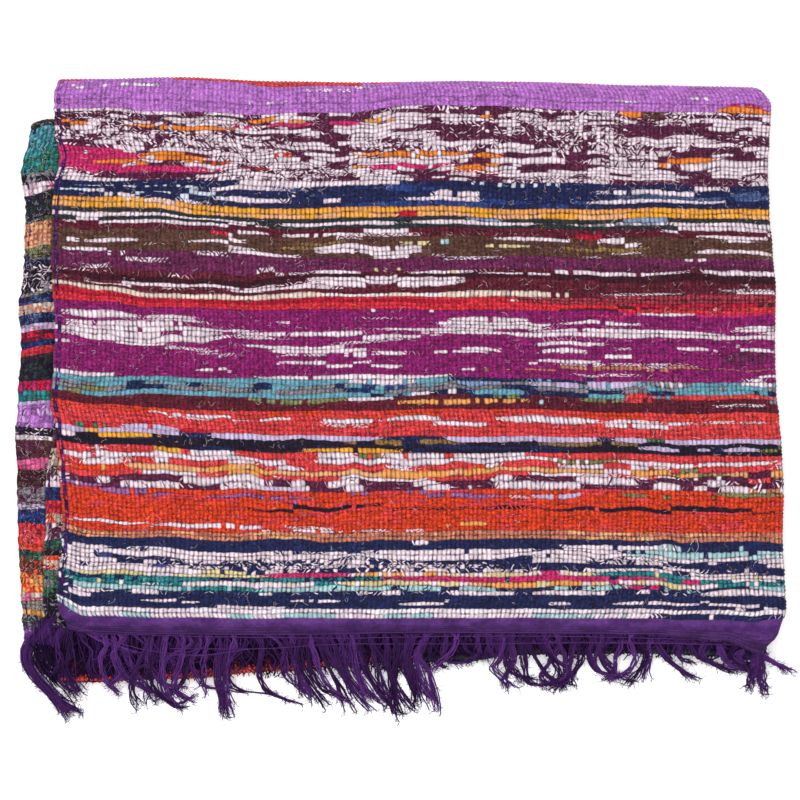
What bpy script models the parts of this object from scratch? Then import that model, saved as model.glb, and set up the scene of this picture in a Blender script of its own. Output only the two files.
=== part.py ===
"""A handwoven rag rug, folded and lying flat on a floor.

The rug is one piece of cloth. It is folded in half across its width, with that fold at the right
and both selvedges at the left, which makes a double leaf. The double leaf is folded in half along
its length and in half again, so it lies in four levels of two leaves each.

+X is to the right, +Y away from the fringed ends and +Z up. The origin is at the middle of the
rug's outline, on the floor. Lengths in the tables are in millimetres, and MM turns them to metres.

The path of the double leaf, from the end that lies on top to the end under it:
  level 4 (top), away from the fringe     -> outer_turn, down to the floor
  level 1 (floor), back to the fringe     -> near_turn, up by one level
  level 2, away from the fringe           -> inner_turn, up by one level
  level 3, back to the fringe, and its end
Leaf P is the half of the width that shows on top, and leaf Q is the other half.
"""

import math
import random
from collections import namedtuple

import bmesh
import bpy
from mathutils import Matrix, Vector

MM = 0.001

# ---- Driving sizes, in millimetres --------------------------------------------------------------

CLOTH_THICK = 3.0  # the woven rags
HEADING_THICK = 1.3  # the plain woven heading at each end
LEAF_GAP = 0.8  # between the two leaves of a level
LEVEL_GAP = 1.2  # between one level and the next
PART_GAP = 0.3  # between the cloth's end and the strip that holds a fringe

STRIP_LENGTH = 2.6  # of the strip that holds a fringe's roots
STRAND_WIDE = 2.5  # a lock of fringe yarn
STRAND_HIGH = 1.5

LEAF_APART = CLOTH_THICK + LEAF_GAP  # middle of one leaf to the middle of the other
LEVEL_PITCH = 2 * CLOTH_THICK + LEAF_GAP + LEVEL_GAP
TURN_REACH = (LEAF_APART + CLOTH_THICK) / 2  # from the path to the outermost face
LEVEL_Z = [TURN_REACH + LEVEL_PITCH * i for i in range(4)]  # the path of each level
SMALL_TURN = LEVEL_PITCH / 2  # radius of near_turn and inner_turn
OUTER_TURN = 1.5 * LEVEL_PITCH  # it wraps the two levels between

RIPPLE_HIGH = 3.4  # how far the ripples lift the top level, at most
RIPPLE_FROM = 2.5  # height below which nothing is lifted, so the underside stays flat
RIPPLE_ACROSS = 210.0  # from crest to crest, along X
RIPPLE_ALONG = 300.0  # from crest to crest, along Y

LEAF_COLUMNS = 13  # across a leaf
FOLD_COLUMNS = 4  # round the fold at the right
LAST_COLUMN = 2 * LEAF_COLUMNS + FOLD_COLUMNS
TURN_ROWS = 6  # round a turn

# ---- Where each level's edges run ---------------------------------------------------------------
# y is the place along the level, left_p and left_q are the selvedges of the two leaves, and right
# is the outside of the fold at the right.

Edge = namedtuple("Edge", "y left_p left_q right")

LEVEL_4 = (
    Edge(-191.0, -275.0, -268.0, 297.0),
    Edge(-188.5, -276.0, -269.0, 297.5),
    Edge(-178.0, -281.0, -274.0, 307.5),
    Edge(-175.0, -283.0, -276.0, 310.0),
    Edge(-158.0, -283.5, -278.0, 315.0),
    Edge(-130.0, -280.5, -276.0, 313.5),
    Edge(-97.0, -279.0, -275.0, 312.0),
    Edge(-60.0, -282.0, -277.0, 312.8),
    Edge(-23.0, -285.0, -278.0, 311.0),
    Edge(-4.0, -289.0, -281.0, 309.0),
    Edge(20.0, -286.0, -280.0, 306.5),
    Edge(55.0, -285.0, -279.0, 305.5),
    Edge(100.0, -287.5, -280.0, 306.5),
    Edge(132.0, -288.5, -281.0, 303.5),
    Edge(165.0, -287.0, -280.0, 301.0),
    Edge(200.0, -280.0, -277.0, 300.0),
    Edge(225.0, -281.5, -278.0, 302.0),
    Edge(247.0, -282.5, -278.0, 302.5),
)
LEVEL_1 = (
    Edge(247.0, -279.0, -276.0, 298.0),
    Edge(120.0, -280.0, -277.0, 297.0),
    Edge(0.0, -279.0, -276.0, 300.0),
    Edge(-120.0, -280.0, -277.0, 303.0),
    Edge(-222.0, -283.0, -279.0, 300.0),
)
LEVEL_2 = (
    Edge(-222.0, -282.0, -279.0, 300.0),
    Edge(-120.0, -287.0, -280.0, 303.0),
    Edge(0.0, -294.0, -281.0, 300.0),
    Edge(120.0, -300.0, -280.0, 297.0),
    Edge(229.0, -305.0, -280.0, 295.0),
)
LEVEL_3 = (
    Edge(229.0, -306.0, -279.0, 295.0),
    Edge(193.0, -313.5, -281.0, 296.0),
    Edge(165.0, -310.0, -283.0, 297.0),
    Edge(110.0, -311.5, -282.0, 299.0),
    Edge(79.0, -315.5, -281.0, 300.0),
    Edge(50.0, -313.8, -282.0, 300.0),
    Edge(5.0, -316.2, -283.0, 303.0),
    Edge(-29.0, -318.4, -287.0, 305.0),
    Edge(-60.0, -316.9, -293.0, 306.0),
    Edge(-97.0, -316.9, -293.5, 306.0),
    Edge(-138.0, -315.3, -295.5, 307.0),
    Edge(-165.0, -313.5, -295.0, 307.0),
    Edge(-184.0, -312.5, -293.5, 305.0),
    Edge(-187.0, -312.5, -293.0, 304.0),
    Edge(-197.5, -311.3, -289.8, 299.0),
    Edge(-200.0, -311.0, -289.0, 298.7),
)
HEADING_ROWS = 3  # the rows of a level that lie on its heading, from its end

# away is 1 where a turn bulges away from the fringe, and p_outside is 1 where leaf P wraps the
# outside of it. The fold at the right draws in by draw_in at the middle of the turn.
Turn = namedtuple("Turn", "name radius away p_outside draw_in")
OUTER = Turn("outer_turn", OUTER_TURN, 1, 1, 8.0)
NEAR = Turn("near_turn", SMALL_TURN, -1, 1, 0.8)
INNER = Turn("inner_turn", SMALL_TURN, 1, -1, 0.8)

# ---- Where the turns and the ends lie across the rug --------------------------------------------
# The y of each turn's outermost face, and of each end of the cloth, at this x.

Across = namedtuple("Across", "x outer_turn near_turn inner_turn end_top end_under")

ACROSS = (
    Across(-320.0, 264.0, -232.0, 229.0, -181.0, -196.0),
    Across(-290.0, 265.0, -232.0, 236.5, -184.0, -199.0),
    Across(-255.0, 265.3, -231.7, 237.5, -190.5, -199.5),
    Across(-185.0, 265.6, -229.0, 238.0, -191.0, -199.5),
    Across(-100.0, 263.3, -222.5, 237.0, -191.5, -199.5),
    Across(-30.0, 261.8, -216.0, 237.5, -190.5, -199.0),
    Across(50.0, 263.8, -215.0, 238.3, -190.0, -198.5),
    Across(95.0, 263.0, -209.0, 238.5, -190.0, -198.0),
    Across(200.0, 260.3, -208.0, 237.5, -191.0, -198.5),
    Across(265.0, 259.2, -210.5, 236.0, -196.0, -200.0),
    Across(295.0, 258.6, -214.5, 234.0, -207.0, -200.5),
    Across(320.0, 256.5, -215.0, 230.0, -205.0, -200.5),
)

# ---- The fringe ---------------------------------------------------------------------------------
# Each strand has a slot of its own, and the slots of both ends take turns, so no two strands meet.
# reach is the y of the tips whose slot is at x, and lean is how far they lie right of their roots.
# A tip whose reach is well past the near turn lies on the floor.

Tip = namedtuple("Tip", "x reach lean")

TIPS = (
    Tip(-300.0, -222.0, 1.0),
    Tip(-292.0, -226.0, 2.0),
    Tip(-286.0, -231.0, 3.0),
    Tip(-276.0, -236.0, 5.0),
    Tip(-250.0, -233.0, 4.0),
    Tip(-235.0, -252.0, 9.0),
    Tip(-215.0, -240.0, 8.0),
    Tip(-190.0, -255.0, 10.0),
    Tip(-160.0, -246.0, 5.0),
    Tip(-146.0, -259.0, 4.0),
    Tip(-115.0, -249.0, 10.0),
    Tip(-88.0, -243.0, 9.0),
    Tip(-60.0, -253.5, 8.0),
    Tip(-25.0, -255.0, 10.0),
    Tip(-3.0, -261.0, 6.0),
    Tip(14.0, -254.0, 3.0),
    Tip(27.0, -258.0, 3.0),
    Tip(42.0, -216.0, 0.0),
    Tip(66.0, -215.0, 1.0),
    Tip(82.0, -236.0, 5.0),
    Tip(105.0, -237.0, 4.0),
    Tip(128.0, -241.0, 0.0),
    Tip(155.0, -231.0, -4.0),
    Tip(185.0, -233.5, -4.0),
    Tip(212.0, -217.0, 2.0),
    Tip(236.0, -230.0, 9.0),
    Tip(252.0, -218.0, 7.0),
    Tip(270.0, -226.0, 4.0),
    Tip(284.0, -240.0, 9.0),
    Tip(300.0, -232.0, 16.0),
)
SLOT = 4.5  # from one slot to the next
FIRST_SLOT_X = -296.5
LAST_SLOT_X = 288.0
SHOWN_FROM_X = -273.0  # left of this, only the other end has strands
LEAN_FROM_Y = -191.0
LEAN_POWER = 1.5
HIDDEN_SHORTER = 13.0  # how much sooner the strands between the shown ones end
HIDDEN_LEAST = 6.0  # from a hidden strand's root to its tip, at least
WANDER = 0.45  # how far a strand strays sideways by itself
REACH_WANDER = 3.5  # how much a strand is longer or shorter than its neighbours
TIP_TAPER = 0.55  # a tip's width as a share of the strand's
SEED = 7

ROOT_RUN = 2.2  # how far a strand runs on from its root before it bends
ROOT_SAG = 0.2
LEAST_STEP = 2.0  # between two bends of a strand
OVER_CLEAR = 1.0  # between a strand and the heading that it crosses
CREST_CLEAR = 2.3  # from the near turn's top to the middle of a strand on it
STEEPEST_RUN = 1.3  # fall over run, before the crest
STEEPEST_FALL = 1.6  # and after it
LANDING = 10.0  # from the near turn's outermost face to where a strand meets the floor
FREE_FALL = 17.0  # from a strand's bend to the floor where there is no cloth below
UNHELD_BELOW_X = -285.0  # left of this there is no cloth below the other end's strands
FALL_STEPS = (0.30, 0.65, 1.0)  # shares of the way from the crest to the floor
FALL_POWER = 1.7  # how the height falls along that way
FLOOR_STEP = 14.0  # from where a strand lands to its next bend

# The thick lock at the lower left, where the selvedge warps of the other end hang together
Bend = namedtuple("Bend", "x y z wide high")
CORNER_LOCK = (
    Bend(-308.0, -202.5, 17.3, 5.0, 1.3),
    Bend(-308.6, -208.0, 13.6, 5.6, 2.4),
    Bend(-308.6, -217.0, 5.8, 7.5, 2.8),
    Bend(-303.5, -228.0, 1.5, 9.5, 2.8),
    Bend(-292.5, -240.5, 1.3, 12.5, 2.6),
    Bend(-281.0, -254.0, 1.2, 15.0, 2.4),
    Bend(-276.0, -259.5, 1.0, 12.0, 2.0),
)

# The middle of the finished rug's outline, in the tables' places
MIDDLE_X = -1.7
MIDDLE_Y = 1.0

RUG_COLOUR = (0.33, 0.10, 0.20, 1.0)
YARN_COLOUR = (0.115, 0.026, 0.22, 1.0)
ROUGHNESS = 0.95


# ---- Small helpers ------------------------------------------------------------------------------


def remove_everything():
    for thing in list(bpy.data.objects):
        bpy.data.objects.remove(thing, do_unlink=True)


def blended(table, key, name, at):
    """The value of column name at the place at, eased between the table's rows."""
    rows = sorted(table, key=lambda row: getattr(row, key))
    if at <= getattr(rows[0], key):
        return getattr(rows[0], name)
    for low, high in zip(rows, rows[1:]):
        start = getattr(low, key)
        stop = getattr(high, key)
        if at <= stop:
            share = (at - start) / (stop - start)
            share = share * share * (3 - 2 * share)
            return getattr(low, name) * (1 - share) + getattr(high, name) * share
    return getattr(rows[-1], name)


def across(name, x):
    return blended(ACROSS, "x", name, x)


def ripple(x, y):
    """From 0 to 1: the gentle unevenness of the stack."""
    rightwards = math.sin(2 * math.pi * x / RIPPLE_ACROSS + 0.9 * math.sin(y / 70.0))
    away = math.sin(2 * math.pi * y / RIPPLE_ALONG + 1.3 + 0.7 * math.sin(x / 95.0))
    return (2 + rightwards + away) / 4


def lifted(x, y, z):
    """The height z with the ripples on it. Higher points are lifted more, so no two meet."""
    share = max(0.0, (z - RIPPLE_FROM) / (LEVEL_Z[3] - RIPPLE_FROM))
    return z + RIPPLE_HIGH * share * ripple(x, y)


# ---- The cloth's mid surface --------------------------------------------------------------------
# A station is a place along the path: on a level, or round a turn. up is 1 where leaf P is the
# upper leaf of the level, or of the level that the turn comes from.

OnLevel = namedtuple("OnLevel", "edges y share up z begins ends")
OnTurn = namedtuple("OnTurn", "before after share up z turn")


def level_stations(edges, up, z, begins, ends):
    first = edges[0].y
    length = edges[-1].y - first
    return [OnLevel(edges, e.y, (e.y - first) / length, up, z, begins, ends) for e in edges]


def turn_stations(before, after, turn, up, z):
    shares = [step / TURN_ROWS for step in range(1, TURN_ROWS)]
    return [OnTurn(before[-1], after[0], share, up, z, turn) for share in shares]


def all_stations():
    outer_z = (LEVEL_Z[0] + LEVEL_Z[3]) / 2
    near_z = (LEVEL_Z[0] + LEVEL_Z[1]) / 2
    inner_z = (LEVEL_Z[1] + LEVEL_Z[2]) / 2
    return (
        level_stations(LEVEL_4, 1, LEVEL_Z[3], "end_top", "outer_turn")
        + turn_stations(LEVEL_4, LEVEL_1, OUTER, 1, outer_z)
        + level_stations(LEVEL_1, -1, LEVEL_Z[0], "outer_turn", "near_turn")
        + turn_stations(LEVEL_1, LEVEL_2, NEAR, -1, near_z)
        + level_stations(LEVEL_2, 1, LEVEL_Z[1], "near_turn", "inner_turn")
        + turn_stations(LEVEL_2, LEVEL_3, INNER, 1, inner_z)
        + level_stations(LEVEL_3, -1, LEVEL_Z[2], "inner_turn", "end_under")
    )


def level_limit(name, x):
    """The y at which a level's straight run begins or ends at this x."""
    y = across(name, x)
    for turn in (OUTER, NEAR, INNER):
        if turn.name == name:
            return y - turn.away * (turn.radius + TURN_REACH)
    return y


def edges_at(station):
    """left_p, left_q and the outside of the fold at the right."""
    if isinstance(station, OnLevel):
        return [
            blended(station.edges, "y", name, station.y) for name in ("left_p", "left_q", "right")
        ]
    share = station.share
    mixed = [a * (1 - share) + b * share for a, b in zip(station.before[1:], station.after[1:])]
    mixed[2] -= station.turn.draw_in * math.sin(math.pi * share) ** 2
    return mixed


def section(station):
    """The double leaf's cross-section: x and the offset from the path, for each column."""
    left_p, left_q, right = edges_at(station)
    half = LEAF_APART / 2
    fold_x = right - TURN_REACH
    steps = [i / LEAF_COLUMNS for i in range(LEAF_COLUMNS)]
    angles = [math.pi * i / FOLD_COLUMNS for i in range(FOLD_COLUMNS + 1)]
    on_p = [(left_p + (fold_x - left_p) * step, half) for step in steps]
    on_fold = [(fold_x + half * math.sin(a), half * math.cos(a)) for a in angles]
    on_q = [(left_q + (fold_x - left_q) * step, -half) for step in reversed(steps)]
    return on_p + on_fold + on_q


def placed(station, x, offset):
    """The point at x that lies that far from the path, towards leaf P's side."""
    if isinstance(station, OnLevel):
        start = level_limit(station.begins, x)
        stop = level_limit(station.ends, x)
        y = start + (stop - start) * station.share
        z = station.z + station.up * offset
    else:
        turn = station.turn
        angle = math.pi * station.share
        radius = turn.radius + turn.p_outside * offset
        y = level_limit(turn.name, x) + turn.away * radius * math.sin(angle)
        z = station.z + station.up * turn.p_outside * radius * math.cos(angle)
    return Vector((x, y, lifted(x, y, z))) * MM


def cloth_object():
    """The cloth: its mid surface as a grid that is laid in its folds, and then thickened."""
    stations = all_stations()
    mesh = bpy.data.meshes.new("rug_cloth")
    bm = bmesh.new()
    bmesh.ops.create_grid(bm, x_segments=LAST_COLUMN, y_segments=len(stations) - 1, size=1)
    bm.verts.ensure_lookup_table()
    rags = []
    for row, station in enumerate(stations):
        first = row * (LAST_COLUMN + 1)
        for column, (x, offset) in enumerate(section(station)):
            bm.verts[first + column].co = placed(station, x, offset)
        if HEADING_ROWS <= row < len(stations) - HEADING_ROWS:
            rags.extend(range(first, first + LAST_COLUMN + 1))
    bm.to_mesh(mesh)
    bm.free()
    cloth = bpy.data.objects.new("rug_cloth", mesh)
    group = cloth.vertex_groups.new(name="rags")
    group.add(rags, 1.0, "REPLACE")
    solid = cloth.modifiers.new("thickness", "SOLIDIFY")
    solid.thickness = CLOTH_THICK * MM
    solid.offset = 0
    solid.vertex_group = group.name
    solid.thickness_vertex_group = HEADING_THICK / CLOTH_THICK
    return cloth


# ---- Building a bar by extruding its end face ---------------------------------------------------
# A section is a dict of four corners. Its keys are pairs of signs, one pair for each corner.


def grow(bm, face, keys, corners):
    """Extrudes a face and puts its corners at these places. Returns the new face."""
    new = bmesh.ops.extrude_discrete_faces(bm, faces=[face])["faces"][0]
    for loop, key in zip(new.loops, keys):
        loop.vert.co = corners[key]
    return new


def sign(value):
    return 1 if value > 0 else -1


# ---- The strip that holds a fringe --------------------------------------------------------------

Root = namedtuple("Root", "x wide on_p bends")


def column_at(station, x, on_p):
    """The column of a leaf at this x, with its fraction."""
    left_p, left_q, right = edges_at(station)
    fold_x = right - TURN_REACH
    if on_p:
        return LEAF_COLUMNS * (x - left_p) / (fold_x - left_p)
    return LAST_COLUMN - LEAF_COLUMNS * (x - left_q) / (fold_x - left_q)


def end_middle(station, column):
    """The middle of the cloth's end at a column, which may lie between two of the cloth's own."""
    low = min(int(column), LAST_COLUMN - 1)
    ends = [placed(station, *place) for place in section(station)[low : low + 2]]
    return ends[0].lerp(ends[1], column - low)


def strip_section(station, column):
    """The strip's four corners at a column."""
    middle = end_middle(station, column)
    angle = math.pi * min(1.0, max(0.0, (column - LEAF_COLUMNS) / FOLD_COLUMNS))
    half_thick = HEADING_THICK / 2 * MM
    outwards = Vector((math.sin(angle), 0, station.up * math.cos(angle))) * half_thick
    corners = {}
    for front, beyond in ((-1, PART_GAP), (1, PART_GAP + STRIP_LENGTH)):
        for out in (-1, 1):
            corners[front, out] = middle + Vector((0, -beyond * MM, 0)) + outwards * out
    return corners


def strip_columns(station, roots):
    """The strip's columns in order, each with the root that begins there or None."""
    spans = []
    for root in roots:
        sides = [column_at(station, root.x + s * root.wide / 2, root.on_p) for s in (-1, 1)]
        spans.append((min(sides), max(sides), root))
    spare = 0.02
    whole = [
        column
        for column in range(LAST_COLUMN + 1)
        if not any(low - spare < column < high + spare for low, high, _ in spans)
    ]
    columns = [(column, None) for column in whole]
    columns += [(low, root) for low, _, root in spans]
    columns += [(high, None) for _, high, _ in spans]
    return sorted(columns, key=lambda item: item[0])


def strip(bm, station, roots):
    """Builds the strip. Returns each root with the front face that it grows from."""
    columns = strip_columns(station, roots)
    sections = [strip_section(station, column) for column, _ in columns]
    bmesh.ops.create_cube(bm, size=1, matrix=Matrix.Identity(4))
    made = [{}, {}]
    for vertex in bm.verts:
        side = 0 if vertex.co.x < 0 else 1
        made[side][sign(-vertex.co.y), sign(vertex.co.z)] = vertex
    bm.normal_update()
    face = max(bm.faces, key=lambda f: f.normal.x)
    keys = [(sign(-v.co.y), sign(v.co.z)) for v in face.verts]
    for corners, vertices in zip(sections, made):
        for key, vertex in vertices.items():
            vertex.co = corners[key]
    for corners in sections[2:]:
        face = grow(bm, face, keys, corners)
        made.append({key: loop.vert for key, loop in zip(keys, face.loops)})
    found = []
    for i, (_, root) in enumerate(columns):
        if root:
            rim = [made[i][1, -1], made[i][1, 1], made[i + 1][1, 1], made[i + 1][1, -1]]
            found.append((root, bm.faces.get(rim)))
    return found


# ---- The strands --------------------------------------------------------------------------------


def strand(bm, face, bends):
    """Grows a strand of four sides from a face of the strip, through its bends."""
    middle = face.calc_center_median()
    keys = [(sign(loop.vert.co.x - middle.x), sign(loop.vert.co.z - middle.z)) for loop in face.loops]
    places = [middle] + [Vector((bend.x, bend.y, bend.z)) * MM for bend in bends]
    for i, bend in enumerate(bends):
        before = places[i]
        after = places[min(i + 2, len(places) - 1)]
        heading = (after - before).normalized()
        side = Vector((-heading.y, heading.x, 0)).normalized()
        upwards = heading.cross(side) * sign(heading.cross(side).z)
        corners = {}
        for right in (-1, 1):
            for top in (-1, 1):
                across_it = side * right * bend.wide / 2 * MM
                corners[right, top] = places[i + 1] + across_it + upwards * top * bend.high / 2 * MM
        face = grow(bm, face, keys, corners)


def drape(x, y, z, crosses_end, held):
    """The (y, z) bends of a strand that starts at (y, z), down to the floor."""
    bends = [(y - ROOT_RUN, z - ROOT_SAG)]
    if crosses_end:
        over_y = across("end_under", x) - PART_GAP - STRIP_LENGTH - LEAST_STEP
        over_z = lifted(x, over_y, LEVEL_Z[2] + (LEAF_APART + HEADING_THICK) / 2)
        if over_y < bends[-1][0] - LEAST_STEP:
            bends.append((over_y, over_z + STRAND_HIGH / 2 + OVER_CLEAR))
    near = across("near_turn", x)
    crest_y = near + SMALL_TURN + TURN_REACH
    if held and crest_y < bends[-1][0] - LEAST_STEP:
        crest_z = lifted(x, crest_y, LEVEL_Z[1] + TURN_REACH) + CREST_CLEAR
        gentle_z = bends[-1][1] - STEEPEST_RUN * (bends[-1][0] - crest_y)
        bends.append((crest_y, max(crest_z, gentle_z)))
    from_y, from_z = bends[-1]
    floor_z = STRAND_HIGH / 2
    landing = min(near - LANDING, from_y - from_z / STEEPEST_FALL) if held else from_y - FREE_FALL
    for step in FALL_STEPS:
        height = floor_z + (from_z - floor_z) * (1 - step**FALL_POWER)
        bends.append((from_y + (landing - from_y) * step, height))
    bends.append((landing - FLOOR_STEP, floor_z))
    return bends


def strand_bends(station, x, on_p, reach, crosses_end, held):
    """A strand's bends, from its root to its tip at y = reach."""
    root = end_middle(station, column_at(station, x, on_p)) / MM
    full = drape(x, root.y - PART_GAP - STRIP_LENGTH, root.z, crosses_end, held)
    before = [bend for bend in full if bend[0] > reach + LEAST_STEP]
    last = before[-1]
    beyond = [bend for bend in full if bend[0] <= reach + LEAST_STEP]
    tip_z = STRAND_HIGH / 2
    if beyond:
        share = min(1.0, (last[0] - reach) / (last[0] - beyond[0][0]))
        tip_z = last[1] + (beyond[0][1] - last[1]) * share
    aim = blended(TIPS, "x", "reach", x)
    lean = blended(TIPS, "x", "lean", x)
    bends = []
    for y, z in before + [(reach, tip_z)]:
        share = max(0.0, (LEAN_FROM_Y - y) / (LEAN_FROM_Y - aim))
        stray = random.uniform(-WANDER, WANDER)
        taper = TIP_TAPER if y == reach else 1.0
        drift = lean * share**LEAN_POWER + stray
        bends.append(Bend(x + drift, y, z, STRAND_WIDE * taper, STRAND_HIGH))
    return bends


def hidden_reach(station, x, on_p, aim):
    """The reach of a strand that lies between two shown ones, which end at y = aim."""
    root_y = end_middle(station, column_at(station, x, on_p)).y / MM
    return min(aim + HIDDEN_SHORTER, root_y - PART_GAP - STRIP_LENGTH - HIDDEN_LEAST)


def fringe_roots(top, under):
    """The roots of both fringes: those at the end on top, and those at the end under it."""
    top_roots = []
    lock = CORNER_LOCK[0]
    under_roots = [Root(lock.x, lock.wide, True, CORNER_LOCK[1:])]
    count = int((LAST_SLOT_X - FIRST_SLOT_X) / SLOT) + 1
    for slot in range(count):
        x = FIRST_SLOT_X + slot * SLOT
        aim = blended(TIPS, "x", "reach", x) + random.uniform(-1, 1) * REACH_WANDER
        shown = x > SHOWN_FROM_X and slot % 2 == 0
        turn = (slot // 2) % 3  # which of the leaves under the top one has this hidden slot
        if shown:
            bends = strand_bends(top, x, True, aim, True, True)
            top_roots.append(Root(x, STRAND_WIDE, True, bends))
        elif x < SHOWN_FROM_X:
            bends = strand_bends(under, x, True, aim, False, x > UNHELD_BELOW_X)
            under_roots.append(Root(x, STRAND_WIDE, True, bends))
        elif turn == 0:
            reach = hidden_reach(top, x, False, aim)
            bends = strand_bends(top, x, False, reach, True, True)
            top_roots.append(Root(x, STRAND_WIDE, False, bends))
        else:
            reach = hidden_reach(under, x, turn == 1, aim)
            bends = strand_bends(under, x, turn == 1, reach, False, True)
            under_roots.append(Root(x, STRAND_WIDE, turn == 1, bends))
    return top_roots, under_roots


def fringe_object(name, station, roots):
    bm = bmesh.new()
    for root, face in strip(bm, station, roots):
        strand(bm, face, root.bends)
    bmesh.ops.recalc_face_normals(bm, faces=bm.faces)
    mesh = bpy.data.meshes.new(name)
    bm.to_mesh(mesh)
    bm.free()
    return bpy.data.objects.new(name, mesh)


# ---- Putting it together ------------------------------------------------------------------------


def material(name, colour):
    made = bpy.data.materials.new(name)
    made.use_nodes = True
    shader = made.node_tree.nodes["Principled BSDF"]
    shader.inputs["Base Color"].default_value = colour
    shader.inputs["Roughness"].default_value = ROUGHNESS
    return made


def main():
    remove_everything()
    random.seed(SEED)
    collection = bpy.data.collections.new("rag_rug")
    bpy.context.scene.collection.children.link(collection)
    stations = all_stations()
    top = stations[0]
    under = stations[-1]
    top_roots, under_roots = fringe_roots(top, under)
    rags = material("woven rags", RUG_COLOUR)
    yarn = material("fringe yarn", YARN_COLOUR)
    pieces = (
        (cloth_object(), rags),
        (fringe_object("fringe_top", top, top_roots), yarn),
        (fringe_object("fringe_under", under, under_roots), yarn),
    )
    for piece, finish in pieces:
        piece.data.materials.append(finish)
        piece.data.transform(Matrix.Translation(Vector((-MIDDLE_X, -MIDDLE_Y, 0)) * MM))
        piece.data.shade_smooth()
        collection.objects.link(piece)


main()
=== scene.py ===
"""The looks of a folded rag rug: its cloth, bead by bead, in the folds of the solids, and its fringes.

Lengths in the tables are in millimetres unless a name begins with photo_, which is a place in the
photograph, in its pixels. The tables of the folds are those of the solids, but for five places on
the top level's left edge and the far fold, which lie 1 to 4 mm nearer to the photograph's outline.
"""

import math
from collections import namedtuple

import bpy
import numpy as np
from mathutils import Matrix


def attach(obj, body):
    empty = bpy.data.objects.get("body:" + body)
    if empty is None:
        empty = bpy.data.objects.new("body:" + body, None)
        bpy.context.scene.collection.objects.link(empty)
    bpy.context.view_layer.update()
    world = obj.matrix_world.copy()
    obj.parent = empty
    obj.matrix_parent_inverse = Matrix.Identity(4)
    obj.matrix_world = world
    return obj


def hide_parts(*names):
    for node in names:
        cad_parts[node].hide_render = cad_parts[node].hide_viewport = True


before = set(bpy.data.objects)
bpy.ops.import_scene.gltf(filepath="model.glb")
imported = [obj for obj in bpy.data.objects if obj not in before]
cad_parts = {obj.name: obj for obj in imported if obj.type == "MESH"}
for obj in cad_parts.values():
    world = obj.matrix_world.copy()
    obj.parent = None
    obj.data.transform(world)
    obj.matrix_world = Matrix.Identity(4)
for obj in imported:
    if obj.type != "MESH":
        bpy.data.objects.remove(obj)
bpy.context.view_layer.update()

MM = 0.001
SEED = 11

# ---- Scale of the photograph ----------------------------------------------------------------------

PHOTO_MM = 0.82  # millimetres for each pixel, at the top of the rug
PHOTO_ZERO_X = 402.5  # the pixel at x = 0 of the tables
PHOTO_ZERO_Y = 401.5

# ---- Driving sizes of the folds -------------------------------------------------------------------

CLOTH_THICK = 3.0
HEADING_THICK = 1.3
LEAF_GAP = 0.8
LEVEL_GAP = 1.2
LEAF_APART = CLOTH_THICK + LEAF_GAP
LEVEL_PITCH = 2 * CLOTH_THICK + LEAF_GAP + LEVEL_GAP
TURN_REACH = (LEAF_APART + CLOTH_THICK) / 2
LEVEL_Z = [TURN_REACH + LEVEL_PITCH * i for i in range(4)]
SMALL_TURN = LEVEL_PITCH / 2
OUTER_TURN = 1.5 * LEVEL_PITCH
RIPPLE_HIGH = 3.4
RIPPLE_FROM = 2.5
RIPPLE_ACROSS = 210.0
RIPPLE_ALONG = 300.0
RIPPLE_BEND_UP = 70.0  # the smaller, the more a ripple bends on its way
RIPPLE_BEND_ACROSS = 95.0
MID_SHARE = 0.8  # of the way out to leaf P's middle, at which a turn's length is measured
MIDDLE_X = -1.7  # the middle of the outline, in the tables' places
MIDDLE_Y = 1.0


def rows_as(kind, *rows):
    """The rows of a table as named tuples of a kind."""
    return [kind(*row) for row in rows]


# Where a level's edges lie at y: the selvedges of leaves P and Q, and the outside of the fold
Edge = namedtuple("Edge", "y left_p left_q right")
LEVEL_4 = rows_as(
    Edge,
    (-191, -275, -268, 297), (-188.5, -276, -269, 297.5), (-178, -281, -274, 307.5),
    (-175, -283, -276, 310), (-158, -283.5, -278, 315), (-130, -280.5, -276, 313.5), (-97, -279, -275, 312),
    (-60, -282, -277, 312.8), (-23, -285, -278, 311), (-4, -289, -281, 309), (20, -286, -280, 306.5),
    (55, -285, -279, 305.5), (100, -287.5, -280, 306.5), (132, -288.5, -281, 303.5), (165, -287, -280, 301),
    (200, -281, -277, 300), (215, -285, -279, 301), (247, -286, -279, 302.5),
)
LEVEL_1 = rows_as(
    Edge,
    (247, -279, -276, 298), (120, -280, -277, 297), (0, -279, -276, 300), (-120, -280, -277, 303),
    (-222, -283, -279, 300),
)
LEVEL_2 = rows_as(
    Edge,
    (-222, -282, -279, 300), (-120, -287, -280, 303), (0, -294, -281, 300), (120, -300, -280, 297),
    (229, -305, -280, 295),
)
LEVEL_3 = rows_as(
    Edge,
    (229, -306, -279, 295), (193, -313.5, -281, 296), (165, -310, -283, 297), (110, -311.5, -282, 299),
    (79, -315.5, -281, 300), (50, -313.8, -282, 300), (5, -316.2, -283, 303), (-29, -318.4, -287, 305),
    (-60, -316.9, -293, 306), (-97, -316.9, -293.5, 306), (-138, -315.3, -295.5, 307),
    (-165, -313.5, -295, 307), (-184, -312.5, -293.5, 305), (-187, -312.5, -293, 304),
    (-197.5, -311.3, -289.8, 299), (-200, -311, -289, 298.7),
)

Turn = namedtuple("Turn", "radius away p_outside draw_in")
TURNS = {
    "outer_turn": Turn(OUTER_TURN, 1, 1, 8.0),
    "near_turn": Turn(SMALL_TURN, -1, 1, 0.8),
    "inner_turn": Turn(SMALL_TURN, 1, -1, 0.8),
}

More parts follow.
